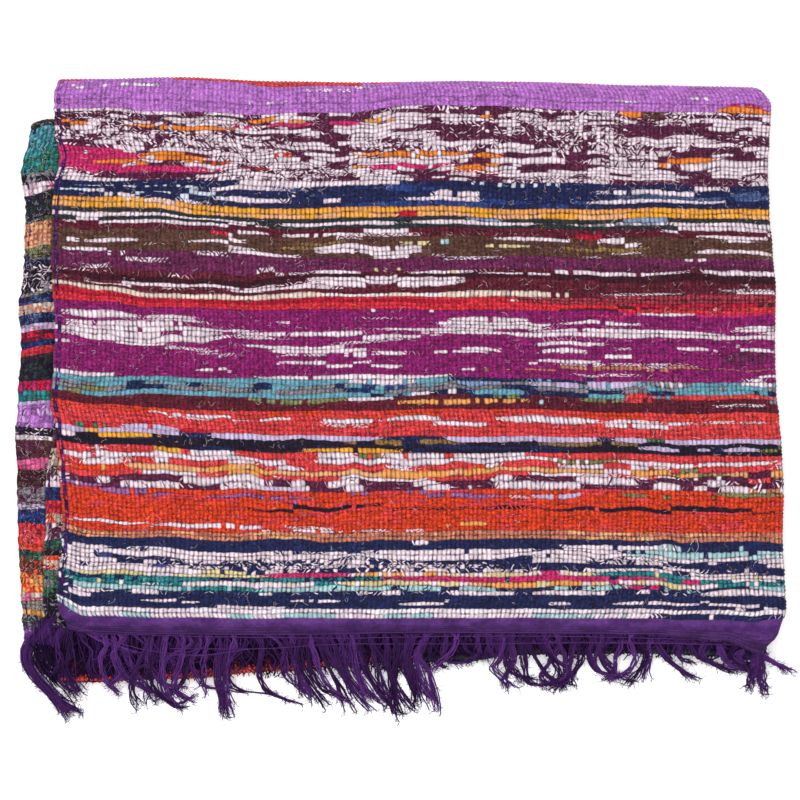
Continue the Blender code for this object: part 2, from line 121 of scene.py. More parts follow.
Across = namedtuple("Across", "x outer_turn near_turn inner_turn end_top end_under")
ACROSS = rows_as(
    Across,
    (-320, 264, -232, 229, -181, -196), (-290, 265, -232, 236.5, -184, -199),
    (-255, 265.3, -231.7, 237.5, -190.5, -199.5), (-185, 266.7, -229, 238, -191, -199.5),
    (-100, 263.3, -222.5, 237, -191.5, -199.5), (-30, 262.8, -216, 237.5, -190.5, -199),
    (50, 263.8, -215, 238.3, -190, -198.5), (95, 263, -209, 238.5, -190, -198),
    (200, 260.3, -208, 237.5, -191, -198.5), (265, 259.2, -210.5, 236, -196, -200),
    (295, 258.6, -214.5, 234, -207, -200.5), (320, 256.5, -215, 230, -205, -200.5),
)

# ---- The weave ------------------------------------------------------------------------------------

LEAF_HALVES = 320  # half beads across a leaf
FOLD_HALVES = 6  # and round the fold at the right
EDGE_HALVES = 24  # of leaf P's inner face, the ones that show at the left
COARSE = 8  # half beads of a plain face where nothing shows
INNER_FOLD = 2
SELVEDGE_STEPS = (0.0, 1.2, 2.5, 3.9, 5.3)  # the first half beads, from the selvedge
CORD_HALVES = (2, 3)  # the half beads where the purple selvedge cord shows
HEADING_LENGTH = 13.5
HEADING_LINES = 7
ROW_HIGH = 3.5  # where a stripe gives no number of rows
BEAD_RISE = 0.46  # of a bead over the cloth's face
BEAD_FALL = 0.62  # between two beads of a row
ROW_FALL = 0.36  # between two rows
INTERLOCK = 0.12  # how far a bead reaches into the next row, as a share of a row
LEAN = 0.2  # how far a row's beads lie to the side of their rib, in half beads
PLAIN_WIDTH = 575.0  # of a leaf, by which its half beads are set out
THINNEST = 0.26  # the least height of a row where others crowd it, as a share of its own
SETTLE_ROWS = 5.0  # within how many rows a thick place is made up for

# sRGB colours of the rags and yarns
YARNS = {
    "lavender": (176, 108, 190), "plum": (84, 30, 60), "white": (238, 218, 228), "bright": (250, 240, 248),
    "navy": (28, 34, 74), "gold": (240, 166, 50), "magenta": (188, 40, 98), "wine": (128, 26, 96),
    "violet": (98, 34, 74), "coral": (208, 60, 62), "orange": (208, 60, 28), "amber": (236, 160, 84),
    "tangerine": (234, 130, 48), "scarlet": (204, 44, 56), "frost": (206, 216, 230), "teal": (36, 126, 132),
    "turquoise": (100, 156, 174), "maroon": (88, 26, 42), "rust": (150, 50, 64), "dark": (58, 20, 34),
    "brown": (84, 54, 46), "peach": (236, 174, 124), "tan": (190, 116, 92), "ink": (40, 46, 50),
    "black": (30, 22, 40), "ice": (168, 204, 208), "straw": (220, 202, 150), "olive": (122, 122, 80),
    "ochre": (136, 104, 62), "lilac": (200, 180, 216), "mauve": (150, 92, 146), "cream": (230, 208, 192),
    "grey": (128, 122, 130), "sky": (130, 154, 192), "slate": (62, 80, 120), "blue": (40, 60, 120),
    "crimson": (172, 24, 50), "pink": (214, 92, 142), "green": (60, 104, 80), "warp": (78, 34, 110),
    # shade is no yarn of the rug: it is painted shade, for fringe yarns that lie in shadow
    "yarn": (84, 44, 111), "shade": (38, 16, 56),
}

# How dark the gaps between a yarn's beads are, where it isn't the plain share: painted shade, over the dark
# warp that shows there too
PLAIN_GAP_SHADE = 1.12
GAP_SHADES = {
    "lavender": 0.30, "lilac": 0.6, "turquoise": 0.7, "orange": 0.7, "coral": 0.72, "magenta": 0.6,
    "wine": 0.4, "violet": 0.34, "plum": 0.5, "navy": 0.36, "blue": 0.4, "slate": 0.5, "brown": 0.26,
    "maroon": 0.34, "dark": 0.3, "ink": 0.4, "black": 0.34, "crimson": 0.6, "scarlet": 0.62,
}

# A stripe's rows, from the top fold to the fringed end: photo_y of its lower edge at mid width,
# the number of rows, the yarn, a second yarn with its share, and how long its dashes are.
Stripe = namedtuple("Stripe", "photo_y rows yarn dash share run", defaults=("short",))
TOP_STRIPES = rows_as(
    Stripe,
    (104, 1, "lavender", "bright", 0.02, "long"), (108.2, 1, "lavender", "plum", 0.12, "long"),
    (112.4, 1, "plum", "white", 0.45), (116.8, 1, "white", "plum", 0.45), (122.9, 2, "white", "plum", 0.2),
    (129.5, 2, "white", "plum", 0.2), (140, 3, "white", "plum", 0.36), (151.3, 3, "white", "plum", 0.34),
    (158.2, 2, "white", "plum", 0.16), (164.2, 1, "white", "plum", 0.16), (170.2, 2, "white", "plum", 0.22),
    (182.3, 4, "white", "plum", 0.3), (188, 1, "navy", "white", 0.1, "long"),
    (193, 1, "navy", "white", 0.24, "long"), (198, 1, "navy", "slate", 0.3, "long"),
    (203, 1, "navy", "white", 0.2, "long"), (207.2, 1, "navy", "blue", 0.3, "long"),
    (212.6, 1, "gold", "amber", 0.3), (217.6, 1, "gold", "peach", 0.3),
    (221, 1, "ink", "white", 0.1, "medium"), (224.8, 1, "white", "ink", 0.3, "medium"),
    (228.2, 1, "ink", "grey", 0.25, "medium"), (232, 1, "maroon", "white", 0.08, "long"),
    (236, 1, "maroon", "white", 0.38, "long"), (240, 1, "brown", "white", 0.15, "long"),
    (247.7, 2, "brown", "ochre", 0.18, "long"), (251.6, 1, "brown", "white", 0.25, "long"),
    (255.6, 1, "brown", "white", 0.15, "long"), (264, 2, "violet", "white", 0.05, "long"),
    (269.2, 1, "violet", "plum", 0.3, "long"), (273.6, 1, "maroon", "white", 0.35, "long"),
    (279, 2, "dark", "white", 0.03, "long"), (284, 1, "maroon", "white", 0.45, "long"),
    (288.2, 1, "maroon", "white", 0.5, "long"), (291.4, 1, "maroon", "white", 0.1, "long"),
    (296.8, 1, "cream", "bright", 0.3, "medium"), (303, 2, "crimson", "scarlet", 0.4, "long"),
    (309.7, 2, "scarlet", "crimson", 0.35, "long"), (317, 2, "wine", "white", 0.1, "long"),
    (331, 4, "wine", "white", 0.3, "long"), (335.5, 1, "white", "wine", 0.25, "long"),
    (340, 1, "wine", "white", 0.4, "long"), (352, 3, "wine", "white", 0.14, "long"),
    (368, 4, "wine", "white", 0.22, "long"), (374, 2, "wine", "white", 0.06, "long"),
    (379.1, 1, "wine", "white", 0.3, "medium"), (384, 1, "turquoise", "white", 0.2, "medium"),
    (388, 1, "turquoise", "grey", 0.35), (392, 1, "grey", "navy", 0.35, "medium"),
    (396.3, 1, "turquoise", "navy", 0.2, "medium"), (400.3, 1, "maroon", "grey", 0.2, "medium"),
    (404.8, 1, "maroon", "cream", 0.12, "medium"), (409.2, 1, "maroon", "grey", 0.06, "medium"),
    (417, 2, "coral", "orange", 0.2), (426, 2, "coral", "white", 0.36, "long"),
    (435, 2, "coral", "crimson", 0.25, "medium"), (440.2, 1, "lilac", "navy", 0.25, "medium"),
    (444.6, 1, "black", "ochre", 0.2, "medium"), (451.4, 2, "black", "navy", 0.3, "medium"),
    (457, 1, "coral", "white", 0.25, "medium"), (462.6, 1, "white", "coral", 0.3, "medium"),
    (467.8, 1, "coral", "white", 0.4, "medium"), (473.8, 1, "amber", "peach", 0.4),
    (477, 1, "coral", "white", 0.25), (483.4, 1, "white", "plum", 0.22), (489.3, 1, "white", "plum", 0.25),
    (530.6, 10, "orange", "coral", 0.18), (539.2, 2, "tan", "peach", 0.12),
    (543.5, 1, "navy", "white", 0.2, "long"), (548.7, 1, "navy", "white", 0.3, "long"),
    (552.4, 1, "white", "navy", 0.3), (556.2, 1, "white", "frost", 0.35, "medium"),
    (560, 1, "white", "navy", 0.34), (564.2, 1, "white", "navy", 0.34), (571.4, 2, "navy", "white", 0.5),
    (575.8, 1, "white", "straw", 0.2), (580, 1, "teal", "navy", 0.4), (585, 1, "white", "straw", 0.16),
    (589.5, 1, "ice", "navy", 0.26), (593.5, 1, "white", "navy", 0.32),
    (607.4, 4, "navy", "white", 0.16, "long"), (612, 1, "bright", "white", 0.3),
    (616.8, 1, "ice", "white", 0.35),
)

# The lower edges, by photo_y, that stay where they are however thick the rows between them are
HELD_EDGES = (
    108.2, 182.3, 207.2, 217.6, 228.2, 255.6, 296.8, 309.7, 331.0, 352.0, 379.1, 396.3, 409.2, 435.0,
    451.4, 489.3, 530.6, 548.7, 564.2, 575.8, 593.5, 607.4,
)

# The strip of leaf P that shows at the left, from the inner turn to the fringed end under it
LEFT_STRIPES = rows_as(
    Stripe,
    (127, 3, "ink", "grey", 0.5), (150, 5, "teal", "turquoise", 0.25), (172, 4, "teal", "green", 0.25),
    (181, 2, "black", "grey", 0.3), (190, 2, "white", "pink", 0.15), (214, 6, "ink", "black", 0.4),
    (219, 1, "olive", "ink", 0.3), (246, 6, "tan", "peach", 0.45), (257, 3, "olive", "ink", 0.45),
    (266, 2, "navy", "grey", 0.25), (276, 3, "black", "white", 0.4), (290, 3, "black", "white", 0.25),
    (295, 1, "olive", "grey", 0.4), (304, 2, "navy", "slate", 0.2), (313, 2, "cream", "tan", 0.3),
    (321, 2, "navy", "slate", 0.2), (330, 2, "tan", "lilac", 0.5), (340, 2, "crimson", "maroon", 0.2),
    (348, 2, "navy", "blue", 0.3), (355, 2, "coral", "crimson", 0.3), (382, 6, "black", "ink", 0.4),
    (392, 2, "crimson", "magenta", 0.3), (402, 2, "teal", "green", 0.3), (428, 5, "lavender", "lilac", 0.1),
    (435, 2, "black", "white", 0.35, "medium"), (439, 1, "white", "black", 0.2, "medium"),
    (459, 5, "plum", "brown", 0.4), (469, 2, "pink", "magenta", 0.2), (484, 3, "dark", "brown", 0.4),
    (503, 5, "grey", "plum", 0.5), (511, 2, "lilac", "grey", 0.45), (525, 3, "blue", "navy", 0.2),
    (539, 3, "crimson", "coral", 0.4), (551, 3, "coral", "orange", 0.3), (560, 2, "green", "ink", 0.45),
    (574, 3, "brown", "orange", 0.2), (592, 4, "orange", "amber", 0.25), (602, 2, "cream", "pink", 0.2),
    (611, 2, "grey", "olive", 0.4), (617, 1, "amber", "straw", 0.4), (634, 4, "ink", "grey", 0.3),
    (643, 2, "grey", "white", 0.35),
)
# What shows of leaf Q there, in the same order of stripes and a little further from the fringe
LEFT_Q_STRIPES = rows_as(
    Stripe,
    (395, 1, "maroon", "navy", 0.3), (420, 1, "lavender", "lilac", 0.2), (430, 1, "black", "white", 0.3),
    (446, 1, "plum", "brown", 0.4), (466, 1, "cream", "plum", 0.35), (484, 1, "brown", "white", 0.25),
    (500, 1, "blue", "navy", 0.2), (515, 1, "crimson", "coral", 0.4), (527, 1, "orange", "cream", 0.35),
    (540, 1, "white", "plum", 0.45), (553, 1, "green", "ink", 0.4), (558, 1, "black", "grey", 0.2),
    (569, 1, "orange", "cream", 0.5), (588, 1, "grey", "green", 0.5), (600, 1, "ink", "green", 0.3),
    (643, 1, "black", "grey", 0.25),
)
FAR_FOLD_Y = 100  # photo_y where the far fold begins
# The rows from there on: their number, yarn, dash, share and run
FAR_FOLD_ROWS = (
    (7, "lavender", "lilac", 0.01, "long"), (4, "coral", "orange", 0.3, "medium"),
    (3, "wine", "white", 0.2, "long"),
)
FOLD_ROW_HIGH = 3.4
# The rows of the near turn: their number, and how far before it and past it they lie, together
NEAR_ROWS = 13
NEAR_BEFORE = 14.0
NEAR_MORE = 30.0
# The x at which the strip at the left is charted, and the share of the inner turn where it begins
STRIP_X = -300.0
STRIP_FROM = 0.35
# Stripes of the parts that hardly show: yarn, dash, share
OTHER_STRIPES = (
    ("navy", "white", 0.25), ("orange", "coral", 0.2), ("white", "plum", 0.3), ("teal", "turquoise", 0.35),
    ("wine", "white", 0.2), ("gold", "amber", 0.35), ("ink", "grey", 0.3), ("coral", "white", 0.25),
    ("lavender", "lilac", 0.15), ("maroon", "white", 0.25), ("ice", "white", 0.4), ("plum", "brown", 0.4),
    ("crimson", "maroon", 0.3), ("olive", "ink", 0.3), ("tan", "peach", 0.35), ("blue", "navy", 0.4),
)
RUNS = {"short": (2.1, 0.34), "medium": (3.2, 0.45), "long": (8.0, 0.42)}  # beads, rows

# Dashes of a yarn with ends that taper, where they lie in the photograph: yarn, share of beads, and
# for each dash its two ends (photo_x, photo_y, photo_x, photo_y) and its height.
DASHES = (
    ("bright", 0.8, (
        (66, 85, 160, 84, 3), (300, 91, 355, 91, 2), (352, 89, 372, 86, 2), (613, 101, 640, 101, 2),
        (692, 99, 711, 99, 3), (250, 101, 290, 101, 2), (460, 86, 520, 86, 1.5),
    )),
    ("plum", 0.9, (
        (425, 111, 528, 112, 3), (126, 119, 166, 120, 3), (260, 141, 330, 141, 3), (317, 142, 352, 140, 9),
        (425, 124, 498, 123, 2), (599, 128, 685, 128, 4), (640, 135, 690, 126, 3), (530, 155, 616, 155, 5),
        (498, 155, 532, 155, 5), (530, 167, 613, 167, 4), (718, 162, 769, 162, 3), (62, 140, 95, 144, 3),
        (200, 131, 235, 128, 3), (95, 175, 180, 178, 2.5), (380, 140, 400, 140, 4), (440, 139, 455, 137, 5),
        (515, 140, 530, 138, 7), (265, 483, 293, 483, 7), (434, 480, 494, 480, 3), (675, 478, 785, 477, 3),
        (688, 487, 699, 487, 4), (706, 487, 719, 487, 4), (737, 487, 754, 487, 4), (372, 486, 388, 487, 3),
        (410, 486, 425, 487, 3), (460, 487, 475, 487, 3), (330, 486, 345, 488, 3), (130, 477, 150, 479, 5),
        (80, 478, 92, 480, 5), (180, 484, 200, 487, 5),
    )),
    ("magenta", 0.97, (
        (10, 157, 150, 159, 24), (30, 148, 92, 149, 5), (64, 168, 222, 171, 6.5), (232, 126, 255, 127, 4),
        (265, 125, 317, 125, 3.5), (327, 124, 363, 123, 4), (365, 167, 453, 166, 4.5),
        (726, 107, 764, 106, 3), (582, 316, 776, 316, 4.5), (260, 576, 353, 576, 3.8),
        (382, 581, 668, 581, 4), (683, 582, 702, 582, 4), (539, 573, 559, 573, 3.5),
        (625, 587, 661, 587, 3.5),
    )),
    ("tangerine", 0.95, (
        (60, 122, 88, 122, 4), (125, 125, 237, 130, 5), (138, 157, 212, 162, 10.5),
        (353, 155, 467, 154, 6.5), (94, 161, 150, 164, 4), (473, 154, 502, 154, 5),
        (453, 166, 501, 166, 4.5), (480, 117, 492, 117, 4), (620, 114, 645, 114, 6.5),
        (716, 112, 773, 112, 7), (656, 163, 718, 163, 5), (248, 120, 277, 120, 5.5),
    )),
    ("orange", 0.9, (
        (204, 161, 232, 163, 4), (274, 157, 291, 157, 5), (446, 172, 501, 172, 2),
        (240, 168, 272, 168, 2.5), (62, 463, 130, 466, 4), (470, 468, 492, 470, 3),
    )),
    ("amber", 0.8, (
        (277, 121, 310, 121, 4), (363, 120, 398, 120, 5), (350, 168, 366, 168, 4),
        (396, 403, 530, 403, 4.5), (448, 525, 492, 525, 4), (355, 574, 405, 574, 4),
        (417, 573, 446, 573, 3.5), (463, 585, 606, 586, 4.5), (195, 468, 275, 473, 3.5),
    )),
    ("brown", 0.9, ((640, 113, 668, 114, 7), (204, 161, 222, 163, 4))),
    ("blue", 0.8, (
        (356, 188, 449, 188, 5), (343, 203, 530, 203, 5), (358, 389, 408, 389, 5), (95, 552, 112, 555, 4),
        (150, 566, 172, 568, 4), (530, 204, 590, 204, 4),
    )),
    ("slate", 0.9, ((726, 198, 772, 198, 11), (240, 186, 300, 188, 3))),
    ("white", 0.95, (
        (432, 191, 480, 192, 6.5), (323, 202, 340, 202, 5), (260, 192, 312, 194, 2),
        (260, 203, 291, 203, 2.2), (595, 192, 728, 192, 5), (587, 202, 730, 202, 3.5),
        (60, 190, 140, 194, 6), (120, 198, 210, 201, 2.6), (215, 188, 270, 190, 3), (60, 211, 120, 216, 5),
        (62, 219, 270, 225, 3.6), (281, 235, 356, 235, 3.4), (353, 233, 415, 233, 4.2),
        (329, 237, 424, 238, 2.4), (492, 240, 571, 241, 3.6), (659, 231, 771, 231, 4),
        (694, 237, 771, 237, 3), (599, 240, 642, 246, 7), (60, 234, 78, 240, 4), (84, 239, 140, 241, 3.4),
        (190, 240, 246, 241, 3.4), (220, 233, 270, 235, 3), (62, 249, 112, 252, 3.4),
        (120, 255, 170, 258, 2.4), (195, 251, 232, 254, 2.6), (230, 253, 300, 257, 3),
        (308, 252, 429, 252, 8.5), (372, 258, 411, 258, 3), (432, 255, 503, 260, 2.4),
        (580, 255, 601, 256, 2.2), (613, 255, 644, 254, 2.2), (685, 259, 708, 260, 3.4),
        (702, 253, 719, 253, 5), (745, 253, 772, 254, 3.5), (80, 264, 112, 267, 2),
        (255, 272, 310, 274, 2.4), (312, 271, 362, 271, 3.4), (420, 273, 460, 273, 3.2),
        (479, 274, 690, 273, 4), (301, 283, 472, 283, 8), (84, 281, 160, 284, 3), (100, 284, 290, 288, 4.6),
        (716, 289, 776, 289, 2), (745, 295, 776, 295, 2.4), (599, 295, 685, 295, 2),
        (530, 299, 609, 300, 7), (676, 308, 730, 308, 2.4), (510, 300, 519, 301, 6),
        (638, 316, 695, 316, 3.4), (370, 311, 377, 311, 4), (429, 312, 434, 312, 3),
        (446, 320, 530, 320, 5.5), (279, 322, 289, 322, 3.6), (60, 309, 140, 315, 7),
        (60, 324, 230, 334, 10), (735, 331, 775, 331, 8), (560, 323, 640, 324, 4), (60, 334, 230, 339, 7),
        (230, 336, 441, 335, 4.4), (329, 341, 418, 341, 2.2), (432, 332, 511, 332, 3),
        (530, 332, 735, 332, 4), (150, 344, 208, 349, 2.6), (195, 352, 235, 356, 2.6),
        (279, 357, 300, 358, 2), (303, 357, 329, 357, 2.4), (343, 356, 374, 356, 5.5),
        (377, 353, 406, 353, 4), (432, 352, 487, 353, 3), (458, 349, 501, 350, 3.5),
        (277, 365, 370, 365, 3.6), (370, 365, 401, 365, 3), (456, 369, 477, 369, 3),
        (195, 369, 232, 371, 4), (540, 350, 587, 352, 5.5), (614, 348, 633, 348, 2.6),
        (675, 349, 716, 349, 4), (735, 347, 776, 352, 4), (604, 358, 633, 358, 4), (530, 363, 600, 363, 4),
        (559, 366, 702, 367, 2.2), (255, 377, 448, 377, 4.4), (570, 374, 640, 375, 2),
        (350, 382, 415, 382, 5.5), (411, 394, 472, 394, 3), (346, 401, 394, 401, 3.4),
        (711, 406, 771, 407, 2.6), (150, 412, 250, 422, 3), (165, 418, 215, 421, 2.4),
        (260, 419, 291, 419, 3.4), (319, 420, 380, 421, 4), (318, 426, 370, 426, 2.6),
        (387, 419, 441, 419, 5), (434, 425, 492, 425, 4.4), (494, 420, 604, 421, 7.5),
        (604, 425, 692, 425, 4), (692, 425, 783, 425, 2.5), (60, 428, 76, 432, 7), (317, 459, 356, 459, 5),
        (380, 458, 455, 458, 6), (451, 461, 530, 461, 8), (530, 463, 783, 464, 4), (560, 468, 670, 470, 5),
        (62, 452, 130, 458, 6), (120, 456, 260, 462, 4), (508, 496, 530, 496, 2.6),
        (286, 527, 336, 527, 2.6), (293, 531, 341, 531, 3), (350, 530, 394, 530, 2.6),
        (406, 530, 425, 531, 2.6), (68, 519, 150, 524, 3), (150, 523, 270, 530, 4.4),
        (411, 543, 429, 543, 7), (62, 545, 110, 549, 5), (150, 548, 270, 556, 4.4), (260, 556, 353, 556, 6),
        (353, 556, 530, 556, 12), (561, 545, 675, 546, 4), (704, 546, 721, 546, 4),
        (530, 556, 625, 557, 12), (62, 556, 130, 568, 9), (62, 566, 220, 574, 6), (530, 592, 604, 592, 4),
        (702, 593, 788, 594, 7), (702, 579, 787, 579, 3), (62, 590, 90, 596, 5), (140, 600, 200, 603, 4),
        (290, 600, 340, 602, 3.5), (400, 604, 450, 602, 4), (550, 603, 570, 604, 5),
        (610, 605, 700, 604, 4.5), (700, 602, 780, 610, 3.5), (725, 611, 745, 611, 5),
        (660, 610, 700, 611, 2.5),
    )),
    ("frost", 0.6, (
        (62, 184, 200, 188, 3), (60, 189, 150, 193, 5), (150, 191, 230, 195, 3), (470, 184, 560, 186, 3),
    )),
    ("ice", 0.8, (
        (434, 243, 455, 243, 5), (620, 556, 785, 557, 13), (62, 582, 140, 588, 5), (140, 588, 260, 592, 4),
        (260, 592, 380, 588, 4), (540, 402, 545, 402, 3),
    )),
    ("maroon", 0.85, ((505, 297, 650, 298, 5), (690, 303, 800, 305, 5), (560, 308, 660, 309, 3))),
    ("rust", 0.95, ((500, 304, 820, 304, 8), (600, 298, 830, 299, 6), (660, 309, 820, 309, 4))),
    ("crimson", 1, ((396, 212, 418, 213, 5), (573, 239, 604, 239, 6), (210, 232, 228, 234, 4))),
    ("sky", 0.9, ((467, 221, 501, 221, 3), (620, 220, 673, 220, 5), (455, 385, 501, 385, 5.5))),
    ("lilac", 0.85, (
        (294, 439, 384, 439, 5), (388, 437, 405, 437, 4), (640, 449, 680, 449, 5), (695, 449, 711, 449, 4),
        (723, 449, 761, 449, 5.5), (530, 385, 640, 385, 6), (530, 495, 587, 495, 4),
        (120, 426, 180, 431, 5), (260, 483, 300, 487, 3),
    )),
    ("grey", 0.7, ((552, 224, 671, 224, 3.6), (640, 386, 700, 386, 5))),
    ("straw", 0.8, (
        (401, 242, 429, 243, 3), (480, 246, 530, 245, 3), (375, 271, 386, 271, 4), (393, 271, 405, 271, 3),
        (445, 273, 462, 274, 3), (446, 573, 530, 573, 3.4), (570, 572, 585, 572, 3.4),
        (657, 585, 690, 586, 5.5), (328, 585, 430, 584, 4), (84, 571, 150, 575, 6), (200, 573, 253, 575, 4),
    )),
    ("ochre", 0.9, (
        (483, 368, 490, 371, 7), (339, 443, 467, 443, 5.5), (540, 445, 606, 445, 5),
        (560, 250, 650, 250, 5),
    )),
    ("tan", 0.85, ((492, 370, 711, 369, 3.4), (711, 369, 775, 368, 1.6), (750, 492, 783, 492, 3))),
    ("navy", 0.95, (
        (449, 381, 530, 381, 3), (336, 386, 346, 386, 5), (429, 390, 475, 389, 4), (472, 395, 530, 395, 4),
        (530, 394, 626, 393, 5), (530, 382, 595, 381, 3), (128, 381, 146, 381, 6), (188, 386, 202, 386, 6),
        (252, 387, 272, 388, 6), (379, 437, 449, 437, 3), (279, 545, 327, 546, 6), (360, 543, 413, 544, 6),
        (427, 542, 482, 546, 4), (678, 543, 786, 549, 10), (530, 565, 685, 566, 3.2),
        (685, 568, 787, 573, 9), (403, 449, 530, 449, 5), (400, 442, 420, 443, 3),
        (650, 616, 786, 618, 5.5), (604, 594, 640, 594, 5), (640, 590, 700, 593, 4),
    )),
    ("turquoise", 0.9, (
        (260, 393, 411, 393, 4), (668, 391, 780, 391, 9), (262, 380, 345, 381, 5), (150, 379, 158, 380, 7),
    )),
    ("olive", 0.85, (
        (62, 388, 110, 391, 5), (245, 400, 346, 399, 7), (580, 399, 625, 399, 4), (761, 449, 783, 449, 5),
        (356, 458, 380, 458, 5), (547, 463, 620, 463, 4), (671, 472, 730, 472, 3), (621, 496, 647, 496, 4),
        (661, 497, 675, 497, 3.4), (713, 497, 783, 497, 4), (495, 399, 520, 398, 4),
    )),
    ("green", 0.8, ((74, 424, 108, 426, 6), (647, 443, 671, 443, 4))),
    ("gold", 0.95, ((84, 431, 162, 437, 6), (155, 448, 182, 449, 4), (303, 450, 403, 450, 4.6))),
    ("coral", 0.95, (
        (626, 401, 652, 401, 9), (650, 399, 778, 398, 4.5), (733, 471, 771, 471, 5),
        (733, 308, 776, 308, 4), (285, 460, 318, 462, 7), (530, 456, 783, 457, 7),
    )),
    ("violet", 0.9, ((716, 359, 775, 359, 16),)),
    ("black", 0.95, (
        (360, 443, 375, 443, 4), (60, 437, 230, 446, 6), (260, 449, 301, 449, 6), (250, 512, 384, 507, 3),
        (390, 507, 480, 507, 1.6), (479, 507, 530, 507, 2.6), (530, 508, 784, 511, 3.4),
    )),
    ("mauve", 0.9, (
        (62, 482, 100, 488, 3), (95, 486, 168, 495, 6), (205, 496, 310, 500, 3), (349, 495, 370, 495, 3),
        (403, 492, 505, 499, 4.6),
    )),
    ("teal", 0.9, (
        (62, 578, 150, 584, 3.6), (150, 585, 262, 588, 3.6), (260, 580, 340, 583, 3.6),
        (589, 575, 702, 575, 4.6), (706, 584, 788, 584, 5.5),
    )),
)


# ---- Tables as arrays -----------------------------------------------------------------------------


def between(keys, at):
    """The last of the keys before each place, and the eased share of the way to the next one."""
    keys = np.asarray(keys, float)
    place = np.clip(at, keys[0], keys[-1])
    low = np.clip(np.searchsorted(keys, place, side="right") - 1, 0, len(keys) - 2)
    share = (place - keys[low]) / (keys[low + 1] - keys[low])
    return low, share * share * (3 - 2 * share)


def eased(table, key, name, at):
    """The column name of a table at the places at, eased between its rows."""
    rows = sorted(table, key=lambda row: getattr(row, key))
    values = np.array([getattr(row, name) for row in rows])
    low, share = between([getattr(row, key) for row in rows], at)
    return values[low] * (1 - share) + values[low + 1] * share


def across(name, x):
    return eased(ACROSS, "x", name, x)


def lifted(x, y, z):
    """The height z with the ripples of the stack, which grow towards its top."""
    rightwards = np.sin(2 * math.pi * x / RIPPLE_ACROSS + 0.9 * np.sin(y / RIPPLE_BEND_UP))
    away = np.sin(2 * math.pi * y / RIPPLE_ALONG + 1.3 + 0.7 * np.sin(x / RIPPLE_BEND_ACROSS))
    share = np.maximum(0.0, (z - RIPPLE_FROM) / (LEVEL_Z[3] - RIPPLE_FROM))
    return z + RIPPLE_HIGH * share * (2 + rightwards + away) / 4


def photo_x(x):
    return x / PHOTO_MM + PHOTO_ZERO_X


def photo_y(y):
    return PHOTO_ZERO_Y - y / PHOTO_MM


def from_photo_x(value):
    return (value - PHOTO_ZERO_X) * PHOTO_MM


def from_photo_y(value):
    return (PHOTO_ZERO_Y - value) * PHOTO_MM


def from_photo(bends):
    """(photo_x, photo_y) bends as places of the tables."""
    return np.array([(from_photo_x(x), from_photo_y(y)) for x, y in bends])


# ---- The path of the double leaf ------------------------------------------------------------------

Zone = namedtuple("Zone", "start length turn edges after up z begins ends")


def level_limit(name, x):
    y = across(name, x)
    turn = TURNS.get(name)
    return y - turn.away * (turn.radius + TURN_REACH) if turn else y


def path_zones():
    """The stretches of the path, with where each starts, measured along the mid of leaf P."""
    plan = (
        (None, LEVEL_4, None, 1, LEVEL_Z[3], "end_top", "outer_turn"),
        ("outer_turn", LEVEL_4, LEVEL_1, 1, (LEVEL_Z[0] + LEVEL_Z[3]) / 2, "", ""),
        (None, LEVEL_1, None, -1, LEVEL_Z[0], "outer_turn", "near_turn"),
        ("near_turn", LEVEL_1, LEVEL_2, -1, (LEVEL_Z[0] + LEVEL_Z[1]) / 2, "", ""),
        (None, LEVEL_2, None, 1, LEVEL_Z[1], "near_turn", "inner_turn"),
        ("inner_turn", LEVEL_2, LEVEL_3, 1, (LEVEL_Z[1] + LEVEL_Z[2]) / 2, "", ""),
        (None, LEVEL_3, None, -1, LEVEL_Z[2], "inner_turn", "end_under"),
    )
    zones = []
    start = 0.0
    for turn, edges, after, up, z, begins, ends in plan:
        if turn:
            length = math.pi * (TURNS[turn].radius + TURNS[turn].p_outside * LEAF_APART / 2 * MID_SHARE)
        else:
            length = abs(float(level_limit(ends, 0.0) - level_limit(begins, 0.0)))
        zones.append(Zone(start, length, turn, edges, after, up, z, begins, ends))
        start += length
    return zones


ZONES = path_zones()
TOP_LEVEL, _, LOWEST_LEVEL, NEAR_TURN, SECOND_LEVEL, INNER_TURN, THIRD_LEVEL = ZONES
PATH_LENGTH = ZONES[-1].start + ZONES[-1].length
TOP_LENGTH = TOP_LEVEL.length


def edges_at(zone, share):
    """left_p, left_q and the outside of the fold at the right."""
    if zone.turn is None:
        first = zone.edges[0].y
        y = first + (zone.edges[-1].y - first) * share
        return [eased(zone.edges, "y", name, y) for name in ("left_p", "left_q", "right")]
    share = np.clip(share, 0, 1)
    pairs = zip(zone.edges[-1][1:], zone.after[0][1:])
    mixed = [a * (1 - share) + b * share for a, b in pairs]
    mixed[2] = mixed[2] - TURNS[zone.turn].draw_in * np.sin(math.pi * share) ** 2
    return mixed


